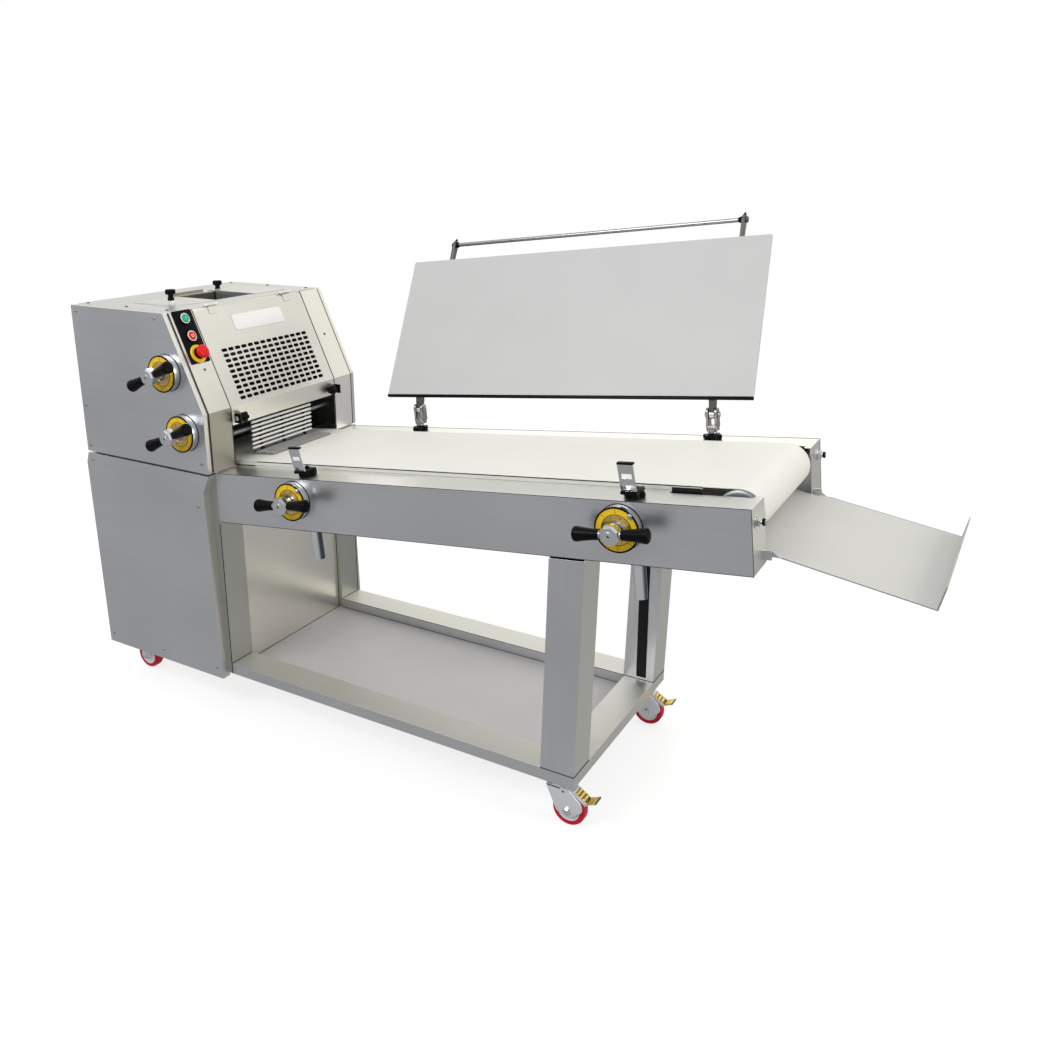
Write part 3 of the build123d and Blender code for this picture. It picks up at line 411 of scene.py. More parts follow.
def brushed(
        name, colour, roughness, grain, depth=0.04, edge=0.0012, vary=0.065, top=None, front=None, calm=1.0,
        patches=()):
    tree, link, shader = start_finish(name, colour, roughness, 1.0)
    sheet = grouped(tree, link, GRAIN, Grain=grain)
    rim = grouped(tree, link, EDGES, Radius=edge)
    shade = toned(tree, link, (*colour, 1), sheet["Tone"])
    gloss = spread(tree, link, sheet["Streak"], roughness - vary, roughness + vary)
    # Painted light: tops and +X faces take their own colours by the way they point
    if top:
        sides = grouped(tree, link, PAINTED_LIGHT_FACING)
        shade = masked(tree, link, shade, sides["Top"], top)
        shade = masked(tree, link, shade, sides["Front"], front)
        smooth = spread(tree, link, sides["Top"], 1.0, calm, 0.0, 1.0)
        gloss = worked(tree, link, "MULTIPLY", gloss, smooth)
    # Patches by place on the part: painted shade and painted reflection, and the black of the guard's lugs
    if patches:
        spot = tree.new("ShaderNodeSeparateXYZ")
        link(tree.new("ShaderNodeTexCoord").outputs["Object"], spot.inputs[0])
        for patch, patch_colour in patches:
            shade = masked(tree, link, shade, patch(tree, link, spot.outputs), patch_colour)
    # Painted highlight: colour lightened along the edges
    highlight_edges = worked(tree, link, "MULTIPLY", rim["Edge"], edge_highlight_share)
    lighter = tuple(min(1.0, c * edge_highlight_gain) for c in colour)
    link(masked(tree, link, shade, highlight_edges, lighter), shader.inputs["Base Color"])
    link(gloss, shader.inputs["Roughness"])
    bumped(tree, link, shader, sheet["Streak"], depth, 0.0006, rim["Normal"])


def moulded(name, colour, roughness, scale=700.0, depth=0.12, metallic=0.0, edge=0.0, shine=0.5):
    tree, link, shader = start_finish(name, colour, roughness, metallic)
    shader.inputs["Specular IOR Level"].default_value = shine
    skin = grouped(tree, link, SPECKS, Scale=scale)
    link(toned(tree, link, (*colour, 1), skin["Tone"]), shader.inputs["Base Color"])
    gloss = spread(tree, link, skin["Grit"], roughness - 0.05, roughness + 0.06)
    link(gloss, shader.inputs["Roughness"])
    rim = grouped(tree, link, EDGES, Radius=edge)["Normal"] if edge else None
    bumped(tree, link, shader, skin["Grit"], depth, 0.0003, rim)


def woven(name, colour, roughness):
    tree, link, shader = start_finish(name, colour, roughness, 0.0)
    spot = tree.new("ShaderNodeTexCoord").outputs["Object"]
    threads = []
    for direction in ("X", "Y"):
        wave = tree.new("ShaderNodeTexWave")
        wave.bands_direction = direction
        feed(link, wave, {"Vector": spot, "Scale": 210.0, "Distortion": 0.4})
        threads.append(wave.outputs["Fac"])
    flour = grouped(tree, link, SPECKS, Scale=55.0)
    link(toned(tree, link, (*colour, 1), flour["Tone"]), shader.inputs["Base Color"])
    gloss = spread(tree, link, flour["Grit"], roughness - 0.08, roughness + 0.08)
    link(gloss, shader.inputs["Roughness"])
    bumped(tree, link, shader, worked(tree, link, "MULTIPLY", *threads), 0.18, 0.0004)


def even(scale):
    return (scale, scale, scale)


# Masks by place on the part, in metres: they mark painted shade, painted reflection and the guard's black
# lugs
inside_top, lip_base, lip_front = 1.3775, 1.3812, -1.185
knee_level, cabinet_end_x, lug_start = 1.066, -0.6, -0.77
reflection_above_knee, reflection_below_knee = beyond("Z", knee_level), short_of("Z", knee_level)
reflection_far_below_knee = joined("MULTIPLY", reflection_below_knee, beyond("Y", 0.0))
guard_lugs, shaded_cabinet_end = beyond("X", lug_start), short_of("X", cabinet_end_x)
lip_walls = joined("MULTIPLY", beyond("Z", lip_base), short_of("X", lip_front))
shaded_inlet_walls = joined("MAXIMUM", short_of("Z", inside_top), lip_walls)

# Grain directions: along the rails, up the legs, across the head
along, upward_grain, across = (3.0, 420.0, 420.0), (420.0, 420.0, 3.0), (420.0, 3.0, 420.0)
steel_grey = (0.675, 0.69, 0.715)
# Painted light: lighter tops and lighter, warmer +X faces of the steel
lit_top_steel = (0.87, 0.87, 0.84)
lit_front_steel = (0.76, 0.755, 0.70)
steel_warm = (0.70, 0.695, 0.65)
# The tops and +X faces of these steels carry painted light
brushed("stainless", steel_grey, 0.36, along, top=lit_top_steel, front=lit_front_steel, calm=0.9)
brushed("stainless_base", (0.67, 0.68, 0.695), 0.38, along, top=(0.71, 0.71, 0.67), front=lit_front_steel,
        calm=1.4)
# Frame posts towards the cabinet end are darker and warmer: painted shade
brushed("stainless_upright", steel_grey, 0.36, upward_grain, top=lit_top_steel, front=lit_front_steel,
        patches=[(shaded_cabinet_end, (0.55, 0.555, 0.52))])
brushed("stainless_warm", steel_warm, 0.34, across)
# Front strips: painted reflection, dark on the near side below the knee, lighter above it, near-white on the
# far side below it
brushed("stainless_strip", (0.40, 0.385, 0.33), 0.34, upward_grain,
        patches=[(reflection_above_knee, (0.74, 0.73, 0.68)), (reflection_far_below_knee, (0.98, 0.97, 0.93))])
# Guard: near-white below the knee as painted reflection; its lugs are black
brushed("stainless_guard", steel_warm, 0.34, across,
        patches=[(reflection_below_knee, (0.97, 0.95, 0.86)), (guard_lugs, (0.012, 0.012, 0.012))])
# A brighter, warmer copy of the stainless for the cabinet panels: painted light
brushed("stainless_front", (0.89, 0.87, 0.79), 0.26, (1500.0, 2.0, 1500.0), 0.006, vary=0.012)
# Top panel: the inlet's walls are darkened as painted shade
brushed("stainless_top", (0.82, 0.82, 0.81), 0.34, across, patches=[(shaded_inlet_walls, (0.26, 0.26, 0.19))])
brushed("bright_steel", (0.72, 0.73, 0.75), 0.14, even(160.0), 0.02, 0.0006)
# Guide tubes: the dark +X faces are a painted reflection band, the lighter tops painted light
brushed("tube_steel", (0.86, 0.88, 0.92), 0.16, even(160.0), 0.02, 0.0006, top=lit_top_steel,
        front=(0.10, 0.11, 0.13))
brushed("rod_steel", (0.40, 0.385, 0.39), 0.22, (3.0, 300.0, 300.0), 0.02, 0.0006)
# Darkened steel for the head frame, also on the tail drum and tension blocks: painted shade of the head's
# inside
brushed("inner_steel", (0.33, 0.34, 0.345), 0.45, (60.0, 300.0, 300.0))
brushed("dial", (0.56, 0.565, 0.58), 0.26, even(300.0), 0.03, 0.0006)
brushed("gold", (0.80, 0.56, 0.16), 0.32, even(300.0), 0.03, 0.0006)
brushed("pedal", (0.78, 0.60, 0.17), 0.34, even(150.0), 0.05, 0.0008)
# Dark steel, also standing in for the shade on the board's arm plates and the handle's brackets and feet
brushed("dark_steel", (0.16, 0.15, 0.14), 0.4, even(200.0), 0.05, 0.0008)
brushed("mat_trail", (0.36, 0.36, 0.36), 0.4, even(200.0), 0.05, 0.0008)
woven("belt", (0.755, 0.745, 0.69), 0.62)
moulded("board", (0.578, 0.578, 0.568), 0.5, 900.0, 0.06, edge=0.001)
moulded("tray_sheet", (0.53, 0.528, 0.51), 0.46, 900.0, 0.05, edge=0.001)
moulded("bed_sheet", (0.60, 0.60, 0.565), 0.45, 900.0, 0.05, edge=0.001)
moulded("shelf_sheet", (0.57, 0.557, 0.56), 0.5, 900.0, 0.05, edge=0.001)
# Near-black rollers: painted shade of the head's inside
moulded("roller_coat", (0.025, 0.025, 0.024), 0.4, 500.0, 0.1, shine=0.3)
# Black for lines and plates that stand in for shade in gaps, edges and open seams: painted shade
moulded("shade_black", (0.012, 0.012, 0.012), 0.6, 600.0, 0.1, shine=0.2)
moulded("zinc", (0.80, 0.83, 0.85), 0.36, 260.0, 0.1, metallic=0.5, edge=0.0008)
moulded("roller_plastic", (0.92, 0.92, 0.90), 0.4, 500.0, 0.08)
moulded("lagging", (0.08, 0.08, 0.08), 0.7, 300.0, 0.3)
moulded("black", (0.004, 0.004, 0.0045), 0.28, 900.0, 0.08, shine=0.07)
moulded("yellow", (0.93, 0.60, 0.02), 0.35, 900.0, 0.05, shine=0.3)
moulded("white", (0.85, 0.85, 0.84), 0.35, 900.0, 0.05)
moulded("green", (0.02, 0.42, 0.25), 0.28, 700.0, 0.05, shine=0.3)
moulded("red", (0.75, 0.008, 0.008), 0.26, 700.0, 0.05, shine=0.25)
moulded("tyre_red", (0.60, 0.004, 0.026), 0.38, 400.0, 0.15, shine=0.3)
moulded("hub_grey", (0.86, 0.84, 0.86), 0.4, 500.0, 0.1)
moulded("motor", (0.2, 0.23, 0.27), 0.5, 220.0, 0.35, metallic=0.3)
moulded("iron", (0.1, 0.1, 0.1), 0.45, 260.0, 0.3, metallic=0.8)

# Finishes of the CAD nodes, by name or else by material slot
sheet_finish = {
    "base_rails": "stainless_base", "frame_posts": "stainless_upright", "cabinet_panels": "stainless_front",
    "head_frame": "inner_steel", "head_front_strips": "stainless_strip", "head_top_panel": "stainless_top",
    "front_guard": "stainless_guard", "conveyor_bed": "bed_sheet", "shelf_panel": "shelf_sheet",
    "catch_tray": "tray_sheet"}
# The rollers take the near-black painted shade
for roller in ("upper_fixed", "upper_moving", "lower_fixed", "lower_moving"):
    sheet_finish[roller + "_roller"] = "roller_coat"
for row in frame["record"]["subparts"]:
    node = nodes[row["node"]]
    finish = sheet_finish.get(row["node"], row["material_slot"])
    node.data.materials.clear()
    node.data.materials.append(FINISH[finish])

# Index dials
conveyor_dial_u = (345.0, 1424.0)
conveyor_dial_w = 97.0
upper_dial = (439.0, 1188.0)
lower_dial = (497.0, 997.0)
dial_spots = [TILTED @ at(u, -frame_half, conveyor_dial_w) @ NEARWARD for u in conveyor_dial_u]
dial_spots += [at(x, cover_face, z) @ NEARWARD for x, z in (upper_dial, lower_dial)]
tick_count, tick_rim = 40, 55.2
outer_figures, inner_figures = 45.8, 33.0


def dial_parts(target, where):
    rings = (
        ([(9, 0), (61.6, 0), (61.6, 1.2), (60.8, 1.8), (9, 1.8)], 1),
        ([(9, 0), (59, 0), (60, 1), (60, 21), (59, 23.4), (57.5, 24), (9, 24)], 0),
        ([(55.5, 23.6), (60.2, 22.4), (60.2, 25), (59.4, 25.8), (56.2, 25.8), (55.5, 25.2)], 1),
        ([(40.6, 23.8), (55.6, 23.8), (55.6, 25.3), (40.6, 25.3)], 2),
        ([(39.4, 23.8), (40.8, 23.8), (40.8, 25.9), (39.4, 25.9)], 1),
        ([(24, 23.8), (39.5, 23.8), (39.5, 25.4), (38, 26), (25, 26), (24, 25)], 3))
    for profile, finish in rings:
        place(target, turned(profile, 64, True), where, finish)
    for i in range(tick_count):
        long_tick = i % 5 == 0
        reach = 5.5 if long_tick else 3.4
        spot = turn(360 * i / tick_count, "Z") @ at(0, tick_rim - reach / 2, 25.45)
        place(target, round_box(1.0 if long_tick else 0.6, reach, 0.4, 0), where @ spot, 1)
        if long_tick:
            spot = turn(-360 * i / tick_count, "Z") @ at(0, outer_figures, 25.35)
            number(target, str(i // 5), 7.5, where @ spot, 1)
            spot = turn(-360 * i / tick_count - 22.5, "Z") @ at(0, inner_figures, 26.05)
            number(target, str(i // 5), 8.0, where @ spot, 1)
    knob = turned(
        [(0, 32), (4.2, 32), (5.6, 31), (6, 29.8), (6, 26.2), (4.6, 25.2), (4.6, 23.5), (0, 23.5)], 24)
    place(target, knob, where @ at(39, 39, 0))


dials = bmesh.new()
for spot in dial_spots:
    dial_parts(dials, spot)
piece("dial_housings", dials, "frame", "dial", ("dial", "black", "yellow", "gold"), "index_dials")

# Levers
conveyor_hub = (46.0, 76.0)
head_hub = (52.0, 86.0)


def lever_parts(where, hub):
    low, high = hub
    middle = (low + high) / 2
    bm = bmesh.new()
    place(bm, turned(
        [(0, 20), (8, 20), (8, 26.8), (14.2, 26.8), (15, 27.6), (15, low - 5), (17, low - 3), (19, low + 1),
         (0, low + 1)], 32), where)
    place(bm, turned(
        [(0, low), (19, low), (26, low + 3.5), (28, low + 6), (28, high - 6), (23, high), (0, high)], 8),
        where @ turn(22.5, "Z"))
    button = [(0, high + 0.8), (10.5, high + 0.8), (11.5, high - 0.4), (0, high - 0.4)]
    place(bm, turned(button, 28), where)
    place(bm, hex_nut(4.2, 1.6), where @ at(0, 0, high), 2)
    for side in (0, 180):
        arm = where @ at(0, 0, middle) @ turn(side, "Z") @ ALONG_X
        place(bm, turned([(0, 18), (9, 18), (9, 28), (11.4, 28.4), (11.4, 30), (0, 30)], 28), arm)
        place(bm, turned(
            [(0, 29.4), (12, 29.4), (13.5, 30.4), (14, 33), (15, 52), (17.4, 74), (19.5, 88), (20, 93),
             (19.2, 97), (16.4, 99.6), (11, 100.6), (0, 101)], 32), arm, 1)
        for offset in (-1, 1):
            seam = arm @ at(offset * 16.3, 0, 64) @ turn(offset * 4.6, "Y")
            place(bm, round_box(1.2, 1.6, 48, 0.4), seam, 1)
    return bm


lever_rows = (
    ("conveyor_lever_left", conveyor_hub, 3.0), ("conveyor_lever_right", conveyor_hub, 3.0),
    ("head_lever_upper", head_hub, 24.0), ("head_lever_lower", head_hub, 24.0))
for (node, hub, angle), spot in zip(lever_rows, dial_spots):
    bm = lever_parts(spot @ turn(angle, "Z"), hub)
    own_piece(node + "_handle", bm, node, "black", ("bright_steel", "black", "dark_steel"))

# Black hand knobs
guard_knob_at, guard_knob_y = (607.0, 1030.0), 251.8
for side, sign in (("near", -1), ("far", 1)):
    inward = FARWARD if side == "near" else NEARWARD
    spot = at(guard_knob_at[0], sign * guard_knob_y, guard_knob_at[1]) @ inward
    bm = bmesh.new()
    place(bm, turned([(0, 0), (9, 0), (10.5, 1.5), (9.5, 9), (12, 15), (0, 15)], 28), spot)
    place(bm, lobed(17, 24, 5, 0.22, 4.5), spot @ at(0, 0, 12))
    place(bm, rod(4.5, 12), spot @ at(0, 0, -8), 1)
    place(bm, hex_nut(8.5, 5), spot @ at(0, 0, -9.6), 1)
    own_piece(f"guard_knob_{side}_grip", bm, f"guard_knob_{side}", "black", ("black", "bright_steel"))

guide_knobs = {"near": (315.0, -228.0, 32.0), "far": (155.0, 140.0, 16.0)}
knob_z = 1382.4
for side, (x, y, stem) in guide_knobs.items():
    spot = at(x, y, knob_z)
    bm = bmesh.new()
    place(bm, turned([(0, 0), (11, 0), (11, 1.4), (10.2, 2), (0, 2)], 32), spot, 1)
    neck = stem - 21
    neck_foot = max(neck, 2)
    place(bm, rod(7.4, 12), spot @ at(0, 0, 1.8), 1)
    place(bm, turned(
        [(0, neck_foot), (10.4, neck_foot), (11.2, neck + 8), (9, neck + 10), (8.6, neck + 15),
         (10.4, stem - 1), (13, stem + 1.4), (0, stem + 1.4)], 32), spot)
    place(bm, lobed(17, 16.5, 6, 0.2, 4), spot @ at(0, 0, stem - 0.5))
    place(bm, rod(4.5, 14), spot @ at(0, 0, -9), 1)
    own_piece(f"guide_knob_{side}_grip", bm, f"guide_knob_{side}", "black", ("black", "bright_steel"))

nuts = bmesh.new()
for u, y in post_spots:
    spot = TILTED @ at(u, y, rail_height)
    place(nuts, lobed(29, 15, 6, 0.24, 4.5), spot)
    place(nuts, tube(8.3, 15, 16.6, 1.0), spot @ at(0, 0, 0.2))
piece("star_nuts", nuts, "frame", "black", ("black",), "post_star_nuts")

# Guide tubes under the rails
guide_low, guide_length, collar_rise = -105.0, 266.0, 101.0
tubes = bmesh.new()
for u, y in post_spots:
    spot = TILTED @ at(u, y, guide_low)
    place(tubes, tube(8.4, 17, guide_length, 1.4, 36), spot)
    place(tubes, tube(16.5, 21, 4, 0.8, 36), spot @ at(0, 0, collar_rise), 1)
piece("post_guides", tubes, "frame", "bright_steel", ("tube_steel", "black"), "guide_tubes")

# Catch straps
strap_foot, strap_top = 180.2, 266.0
strap_lean = 11.8
strap_y, pad_y, hook_y = -337.0, -318.0, -351.5
straps = bmesh.new()
for u in post_u:
    stand = TILTED @ at(u, strap_y, strap_foot) @ turn(strap_lean, "X") @ NEARWARD
    place(straps, windowed(42, 1.5, 86, (27, 13), 51, 3), stand)
    place(straps, plate(oblong(45, 56), 9, 3, 2.0), TILTED @ at(u, pad_y, strap_foot), 1)
    place(straps, round_box(42, 13, 3.4, 1.2), TILTED @ at(u, hook_y, strap_top - 1.7))
    place(straps, round_box(43.5, 14.4, 6.4, 2.4, 3), TILTED @ at(u, hook_y + 0.2, strap_top - 2.4), 1)
piece("strap_hooks", straps, "board_carriage", "bright_steel", ("bright_steel", "black"), "catch_straps")

# Board posts with their forks
fork_slot, fork_half = 9.5, 17.0
hinge_at = (318.0, 238.0)
post_low, near_post_top, far_post_top = -98.0, 183.0, 190.0
posts = bmesh.new()
for u in post_u:
    near = TILTED @ at(u, -post_y, 0)
    place(posts, rod(8, near_post_top - post_low), near @ at(0, 0, post_low))
    place(posts, tube(8.2, 14, 1.6, 0.3), near @ at(0, 0, near_post_top + 0.2), 1)
    place(posts, hex_nut(12.5, 7), near @ at(0, 0, near_post_top + 1.4), 1)
    place(posts, turned([(0, 198), (3, 197.4), (6.5, 195), (8.6, 191), (8.6, 190), (0, 190)], 28), near, 1)
    far = TILTED @ at(u, post_y, 0)
    place(posts, rod(8, far_post_top - post_low), far @ at(0, 0, post_low))
    place(posts, turned([(0, 181), (11, 181), (13, 184), (13, 188), (9, 189), (0, 189)], 32), far)
    place(posts, round_box(2 * fork_half, 30, 18, 4, 3), TILTED @ at(u, hinge_at[0] - 2, 197))
    for inner, outer in ((-fork_half, -fork_slot), (fork_slot, fork_half)):
        ear = TILTED @ at(u + inner, hinge_at[0], 0) @ turn(90, "Z") @ turn(90, "X")
        place(posts, tab(16, 200, hinge_at[1] + 6, outer - inner, 1.0), ear)
    pin = TILTED @ at(u, hinge_at[0], hinge_at[1]) @ ALONG_X
    place(posts, rod(6, 46), pin @ at(0, 0, -23))
    pin_head = turned([(0, 0), (9, 0), (10, 1), (10, 3.6), (9, 4.6), (0, 4.6)], 28)
    place(posts, pin_head, pin @ at(0, 0, fork_half + 0.4))
    place(posts, hex_nut(9.5, 5), pin @ at(0, 0, -fork_half - 5.4))
piece("post_forks", posts, "board_carriage", "bright_steel", ("rod_steel", "black"), "board_posts")

# Press board and its handle
board_start, board_end = 250.0, 1579.0
board_width, board_thickness = 532.0, 10.0
board_angle = 59.5
board_edge = (300.0, 290.0)
BOARD = TILTED @ at(0, *board_edge) @ turn(board_angle, "X")
board_middle = (board_start + board_end) / 2
board_length = board_end - board_start
leaf_half = 8.0
shadow_trim_width = 9.0
foot_thickness = 3.0
board = bmesh.new()
place(board, plate(oblong(board_length, board_width - 3), board_thickness, 4, 1.2),
      BOARD @ at(board_middle, board_width / 2 + 1.5, -board_thickness))
# A black strip along the board's lower edge stands for the shadow under that edge: painted shadow
place(board, round_box(board_length, shadow_trim_width, board_thickness + 1.6, 1.2),
      BOARD @ at(board_middle, shadow_trim_width / 2 - 0.2, -board_thickness / 2), 1)


def back_foot(target, u, s, size, finish):
    long, wide = size
    behind = -board_thickness - foot_thickness
    place(target, plate(oblong(long, wide), foot_thickness, 4, 0.6), BOARD @ at(u, s, behind), finish)
    for du in (-1, 1):
        for ds in (-1, 1):
            spot = BOARD @ at(u + du * (long / 2 - 9), s + ds * (wide / 2 - 10), behind)
            place(target, dome_screw(5, 3), spot @ turn(180, "X"), finish)


for u in post_u:
    hinge = TILTED @ at(u, hinge_at[0], hinge_at[1])
    place(board, tube(6.2, 13, 2 * leaf_half, 1.2, 32), hinge @ ALONG_X @ at(0, 0, -leaf_half), 2)
    arm = [(10, 10), (90, 10), (90, 18), (22, 41), (-33, 54.5), (-37, 29.5)]
    # The arm plates are in dark steel: painted shade
    place(board, plate(arm, 2 * leaf_half, 5, 1.2), BOARD @ at(u - leaf_half, 0, 0) @ SIDE_ON, 3)
    back_foot(board, u, 58, (56, 80), 2)
piece("board_panel", board, "board", "board", ("board", "black", "bright_steel", "dark_steel"), "press_board")

handle_u = (403.0, 1480.0)
handle_reach, handle_behind, handle_radius = 600.0, 20.0, 7.0
bracket_half = 6.0
handle = bmesh.new()
grip = BOARD @ at(0, handle_reach, -handle_behind) @ ALONG_X
grip_length = handle_u[1] - handle_u[0] - 2 * bracket_half
place(handle, rod(handle_radius, grip_length, 1.0, 32), grip @ at(0, 0, handle_u[0] + bracket_half))
bracket = [(470, 10), (526, 10), (600, 8), (616, 15), (616, 27), (600, 31), (520, 26), (470, 18)]
for u, facing in zip(handle_u, (1, -1)):
    # The brackets and, below, the handle's back feet are in dark steel: painted shade
    place(handle, plate(bracket, 2 * bracket_half, 3, 1.0), BOARD @ at(u - bracket_half, 0, 0) @ SIDE_ON, 1)
    cap_end, nut_end = (
        BOARD @ at(u + bracket_half * way, handle_reach, -handle_behind) @ ALONG_X @ turn(90 - 90 * way, "Y")
        for way in (facing, -facing))
    place(handle, turned([(0, 0), (11, 0), (11, 3), (7.6, 12), (0, 12)], 28), cap_end, 2)
    place(handle, turned([(0, 0), (9, 0), (10, 1.2), (10, 5), (8, 7), (0, 7)], 6), nut_end, 1)
    place(handle, turned([(0, 9), (2.6, 8.6), (3.6, 7), (3.6, 4), (5, 3), (5, -2), (0, -2)], 20),
          BOARD @ at(u, 616, -21) @ turn(-90, "X"), 2)
    back_foot(handle, u, 492, (50, 60), 1)
piece("handle_bar", handle, "board", "bright_steel", ("rod_steel", "dark_steel", "black"), "handle_rod")

# Conveyor belt
drum_u, tail_u, drum_w = -270.0, 1692.0, 118.0
belt_half = 232.0
belt_low, belt_top = 176.0, 179.0
belt_run = tail_u - drum_u
belt = bmesh.new()
corner = 0.8
rim = [
    (-belt_half, belt_low + corner), (-belt_half + corner, belt_low), (belt_half - corner, belt_low),
    (belt_half, belt_low + corner), (belt_half, belt_top - corner), (belt_half - corner, belt_top),
    (-belt_half + corner, belt_top), (-belt_half, belt_top - corner)]
loop = [belt.verts.new((drum_u, y, w)) for y, w in rim]
loop_edges = [belt.edges.new(pair) for pair in zip(loop, loop[1:] + loop[:1])]
for centre_u, run in ((tail_u, belt_run), (drum_u, -belt_run)):
    grown = bmesh.ops.extrude_edge_only(belt, edges=loop_edges)["geom"]
    ahead = [v for v in grown if isinstance(v, bmesh.types.BMVert)]
    bmesh.ops.translate(belt, verts=ahead, vec=(run, 0, 0))
    front = [e for e in grown if isinstance(e, bmesh.types.BMEdge)
             and all(abs(v.co.x - centre_u) < 0.01 for v in e.verts)]
    swept = bmesh.ops.spin(
        belt, geom=ahead + front, axis=(0, 1, 0), cent=(centre_u, 0, drum_w), angle=math.pi, steps=20)
    loop_edges = [e for e in swept["geom_last"] if isinstance(e, bmesh.types.BMEdge)]
bmesh.ops.remove_doubles(belt, verts=belt.verts[:], dist=0.01)
bmesh.ops.recalc_face_normals(belt, faces=belt.faces[:])
belt.transform(TILTED)
belt_piece = piece("belt_band", belt, "frame", "belt", ("belt",), "conveyor_belt")

# Tail roller and belt tensioners
tail = bmesh.new()
axle = TILTED @ at(tail_u, 0, drum_w) @ FARWARD
place(tail, turned(
    [(0, -240), (50, -240), (54, -239), (57.7, -236), (57.7, 236), (54, 239), (50, 240), (0, 240)], 64),
    axle)
place(tail, rod(10, 660, 1.0), axle @ at(0, 0, -330), 1)
for end in (-1, 1):
    place(tail, tube(10, 22, 8, 1.0), axle @ at(0, 0, end * 244 - 4), 1)
own_piece("tail_drum", tail, "tail_roller", "lagging", ("inner_steel", "bright_steel"))

rail_length = 1754.0
tension_y, block_half = 315.0, 28.0
bolt_w = drum_w + 8
tension = bmesh.new()
for side in (-1, 1):
    place(tension, round_box(2 * block_half, 55, 52, 2.0),
          TILTED @ at(tail_u, side * (frame_half - 3 - 27.5), drum_w))
    bolt = TILTED @ at(rail_length, side * tension_y, bolt_w) @ ALONG_X
    bolt_start = tail_u + block_half - rail_length
    place(tension, rod(6, 22 - bolt_start, 0.8), bolt @ at(0, 0, bolt_start), 1)
    place(tension, tube(6.2, 17, 2, 0.4), bolt, 1)
    place(tension, hex_nut(13, 9, 6.1), bolt @ at(0, 0, 2), 1)
    place(tension, hex_nut(9.5, 7), bolt @ at(0, 0, 15), 2)
piece("tension_screws", tension, "frame", "bright_steel", ("inner_steel", "bright_steel", "black"),
      "belt_tensioners")

# Controls
panel_middle = (91.5, -309.5)
start_s, stop_s, emergency_s, button_y = 31.0, 91.0, 151.0, -310.0
controls = bmesh.new()
place(controls, plate(oblong(179, 79), 3, 5, 0.7), on_slope(*panel_middle))
for s in (start_s, stop_s):
    spot = on_slope(s, button_y)
    place(controls, turned(
        [(13.5, -18), (15, -18), (15, 3), (19.5, 3), (20, 4), (18.5, 8.6), (17, 9.4), (13.5, 9.4)], 40, True),
        spot)
    place(controls, tube(14.2, 17.4, 1.6, 0.4, 40), spot @ at(0, 0, 8.6), 1)
    place(controls, round_box(34, 34, 34, 2), spot @ at(0, 0, -35))
spot = on_slope(emergency_s, button_y)
place(controls, turned(
    [(13.5, -18), (15, -18), (15, 3), (30, 3), (30.5, 4), (29.5, 6.8), (28, 8), (13.5, 8)], 48, True),
    spot, 2)
place(controls, tube(13.5, 19, 4, 0.6, 40), spot @ at(0, 0, 7.6))
place(controls, round_box(34, 34, 34, 2), spot @ at(0, 0, -35))
piece("switch_panel", controls, "frame", "black", ("black", "white", "yellow"), "control_panel")

for node, s, finish in (("start_button", start_s, "green"), ("stop_button", stop_s, "red")):
    spot = on_slope(s, button_y)
    cap = bmesh.new()
    place(cap, turned(
        [(0, -13), (13, -13), (13, 12.2), (12.2, 13.6), (10.8, 14), (9.8, 13.2), (0, 12.6)], 40), spot)
    if node == "start_button":
        place(cap, round_box(9, 1.8, 0.6, 0.2), spot @ at(0, 0, 13), 1)
    else:
        place(cap, tube(3.8, 5.6, 0.7, 0.2, 32), spot @ at(0, 0, 12.6), 1)
    own_piece(node + "_cap", cap, node, finish, (finish, "white"))
cap = bmesh.new()
spot = on_slope(emergency_s, button_y)
place(cap, turned(
    [(0, -12), (13, -12), (13, 20), (18, 22.5), (21.6, 24), (22.2, 26), (22.2, 30), (20.8, 33.4), (17.4, 36),
     (11, 37.6), (0, 38)], 48), spot)
own_piece("emergency_stop_cap", cap, "emergency_stop", "red", ("red",))

# Curling mat
mat_hanger = (556.0, 1000.0)
mat_x, mat_bar, mat_half, mat_pitch = 562.0, 4.3, 152.0, 15.0
mat_bars, trail_bars = 7, 6
belt_rise = math.tan(belt_slope)
belt_face = rail_foot + belt_top / math.cos(belt_slope)
bars = [(mat_x, mat_hanger[1] - 14 - i * mat_pitch) for i in range(mat_bars)]
for i in range(trail_bars):
    x = mat_x + 12 + i * mat_pitch
    bars.append((x, belt_face + (x - cabinet_front) * belt_rise + mat_bar + 0.4))
mat = bmesh.new()
for i, (x, z) in enumerate(bars):
    place(mat, rod(mat_bar, 2 * mat_half, 1.6, 20), at(x, -mat_half, z) @ FARWARD, 0 if i < mat_bars else 2)
links = [mat_hanger] + bars
for y in (-110, 0, 110):
    place(mat, tube(6.1, 9, 16, 0.6, 24), at(mat_hanger[0], y - 8, mat_hanger[1]) @ FARWARD, 1)
    for (x0, z0), (x1, z1) in zip(links, links[1:]):
        run = math.hypot(x1 - x0, z1 - z0)
        lean = Matrix.Rotation(math.atan2(-(z1 - z0), x1 - x0), 4, "Y")
        place(mat, round_box(run, 16, 3, 0.8), at((x0 + x1) / 2, y, (z0 + z1) / 2) @ lean, 1)
own_piece("mat_bars", mat, "curling_mat", "roller_plastic", ("roller_plastic", "black", "mat_trail"))

# Castors
swivel_x, swivel_y, axle_x = 1812.0, 303.0, 1847.0
rear_x, rear_y = 75.0, 271.0
wheel_radius = 50.0
pedal_at = (1834.0, 110.0)


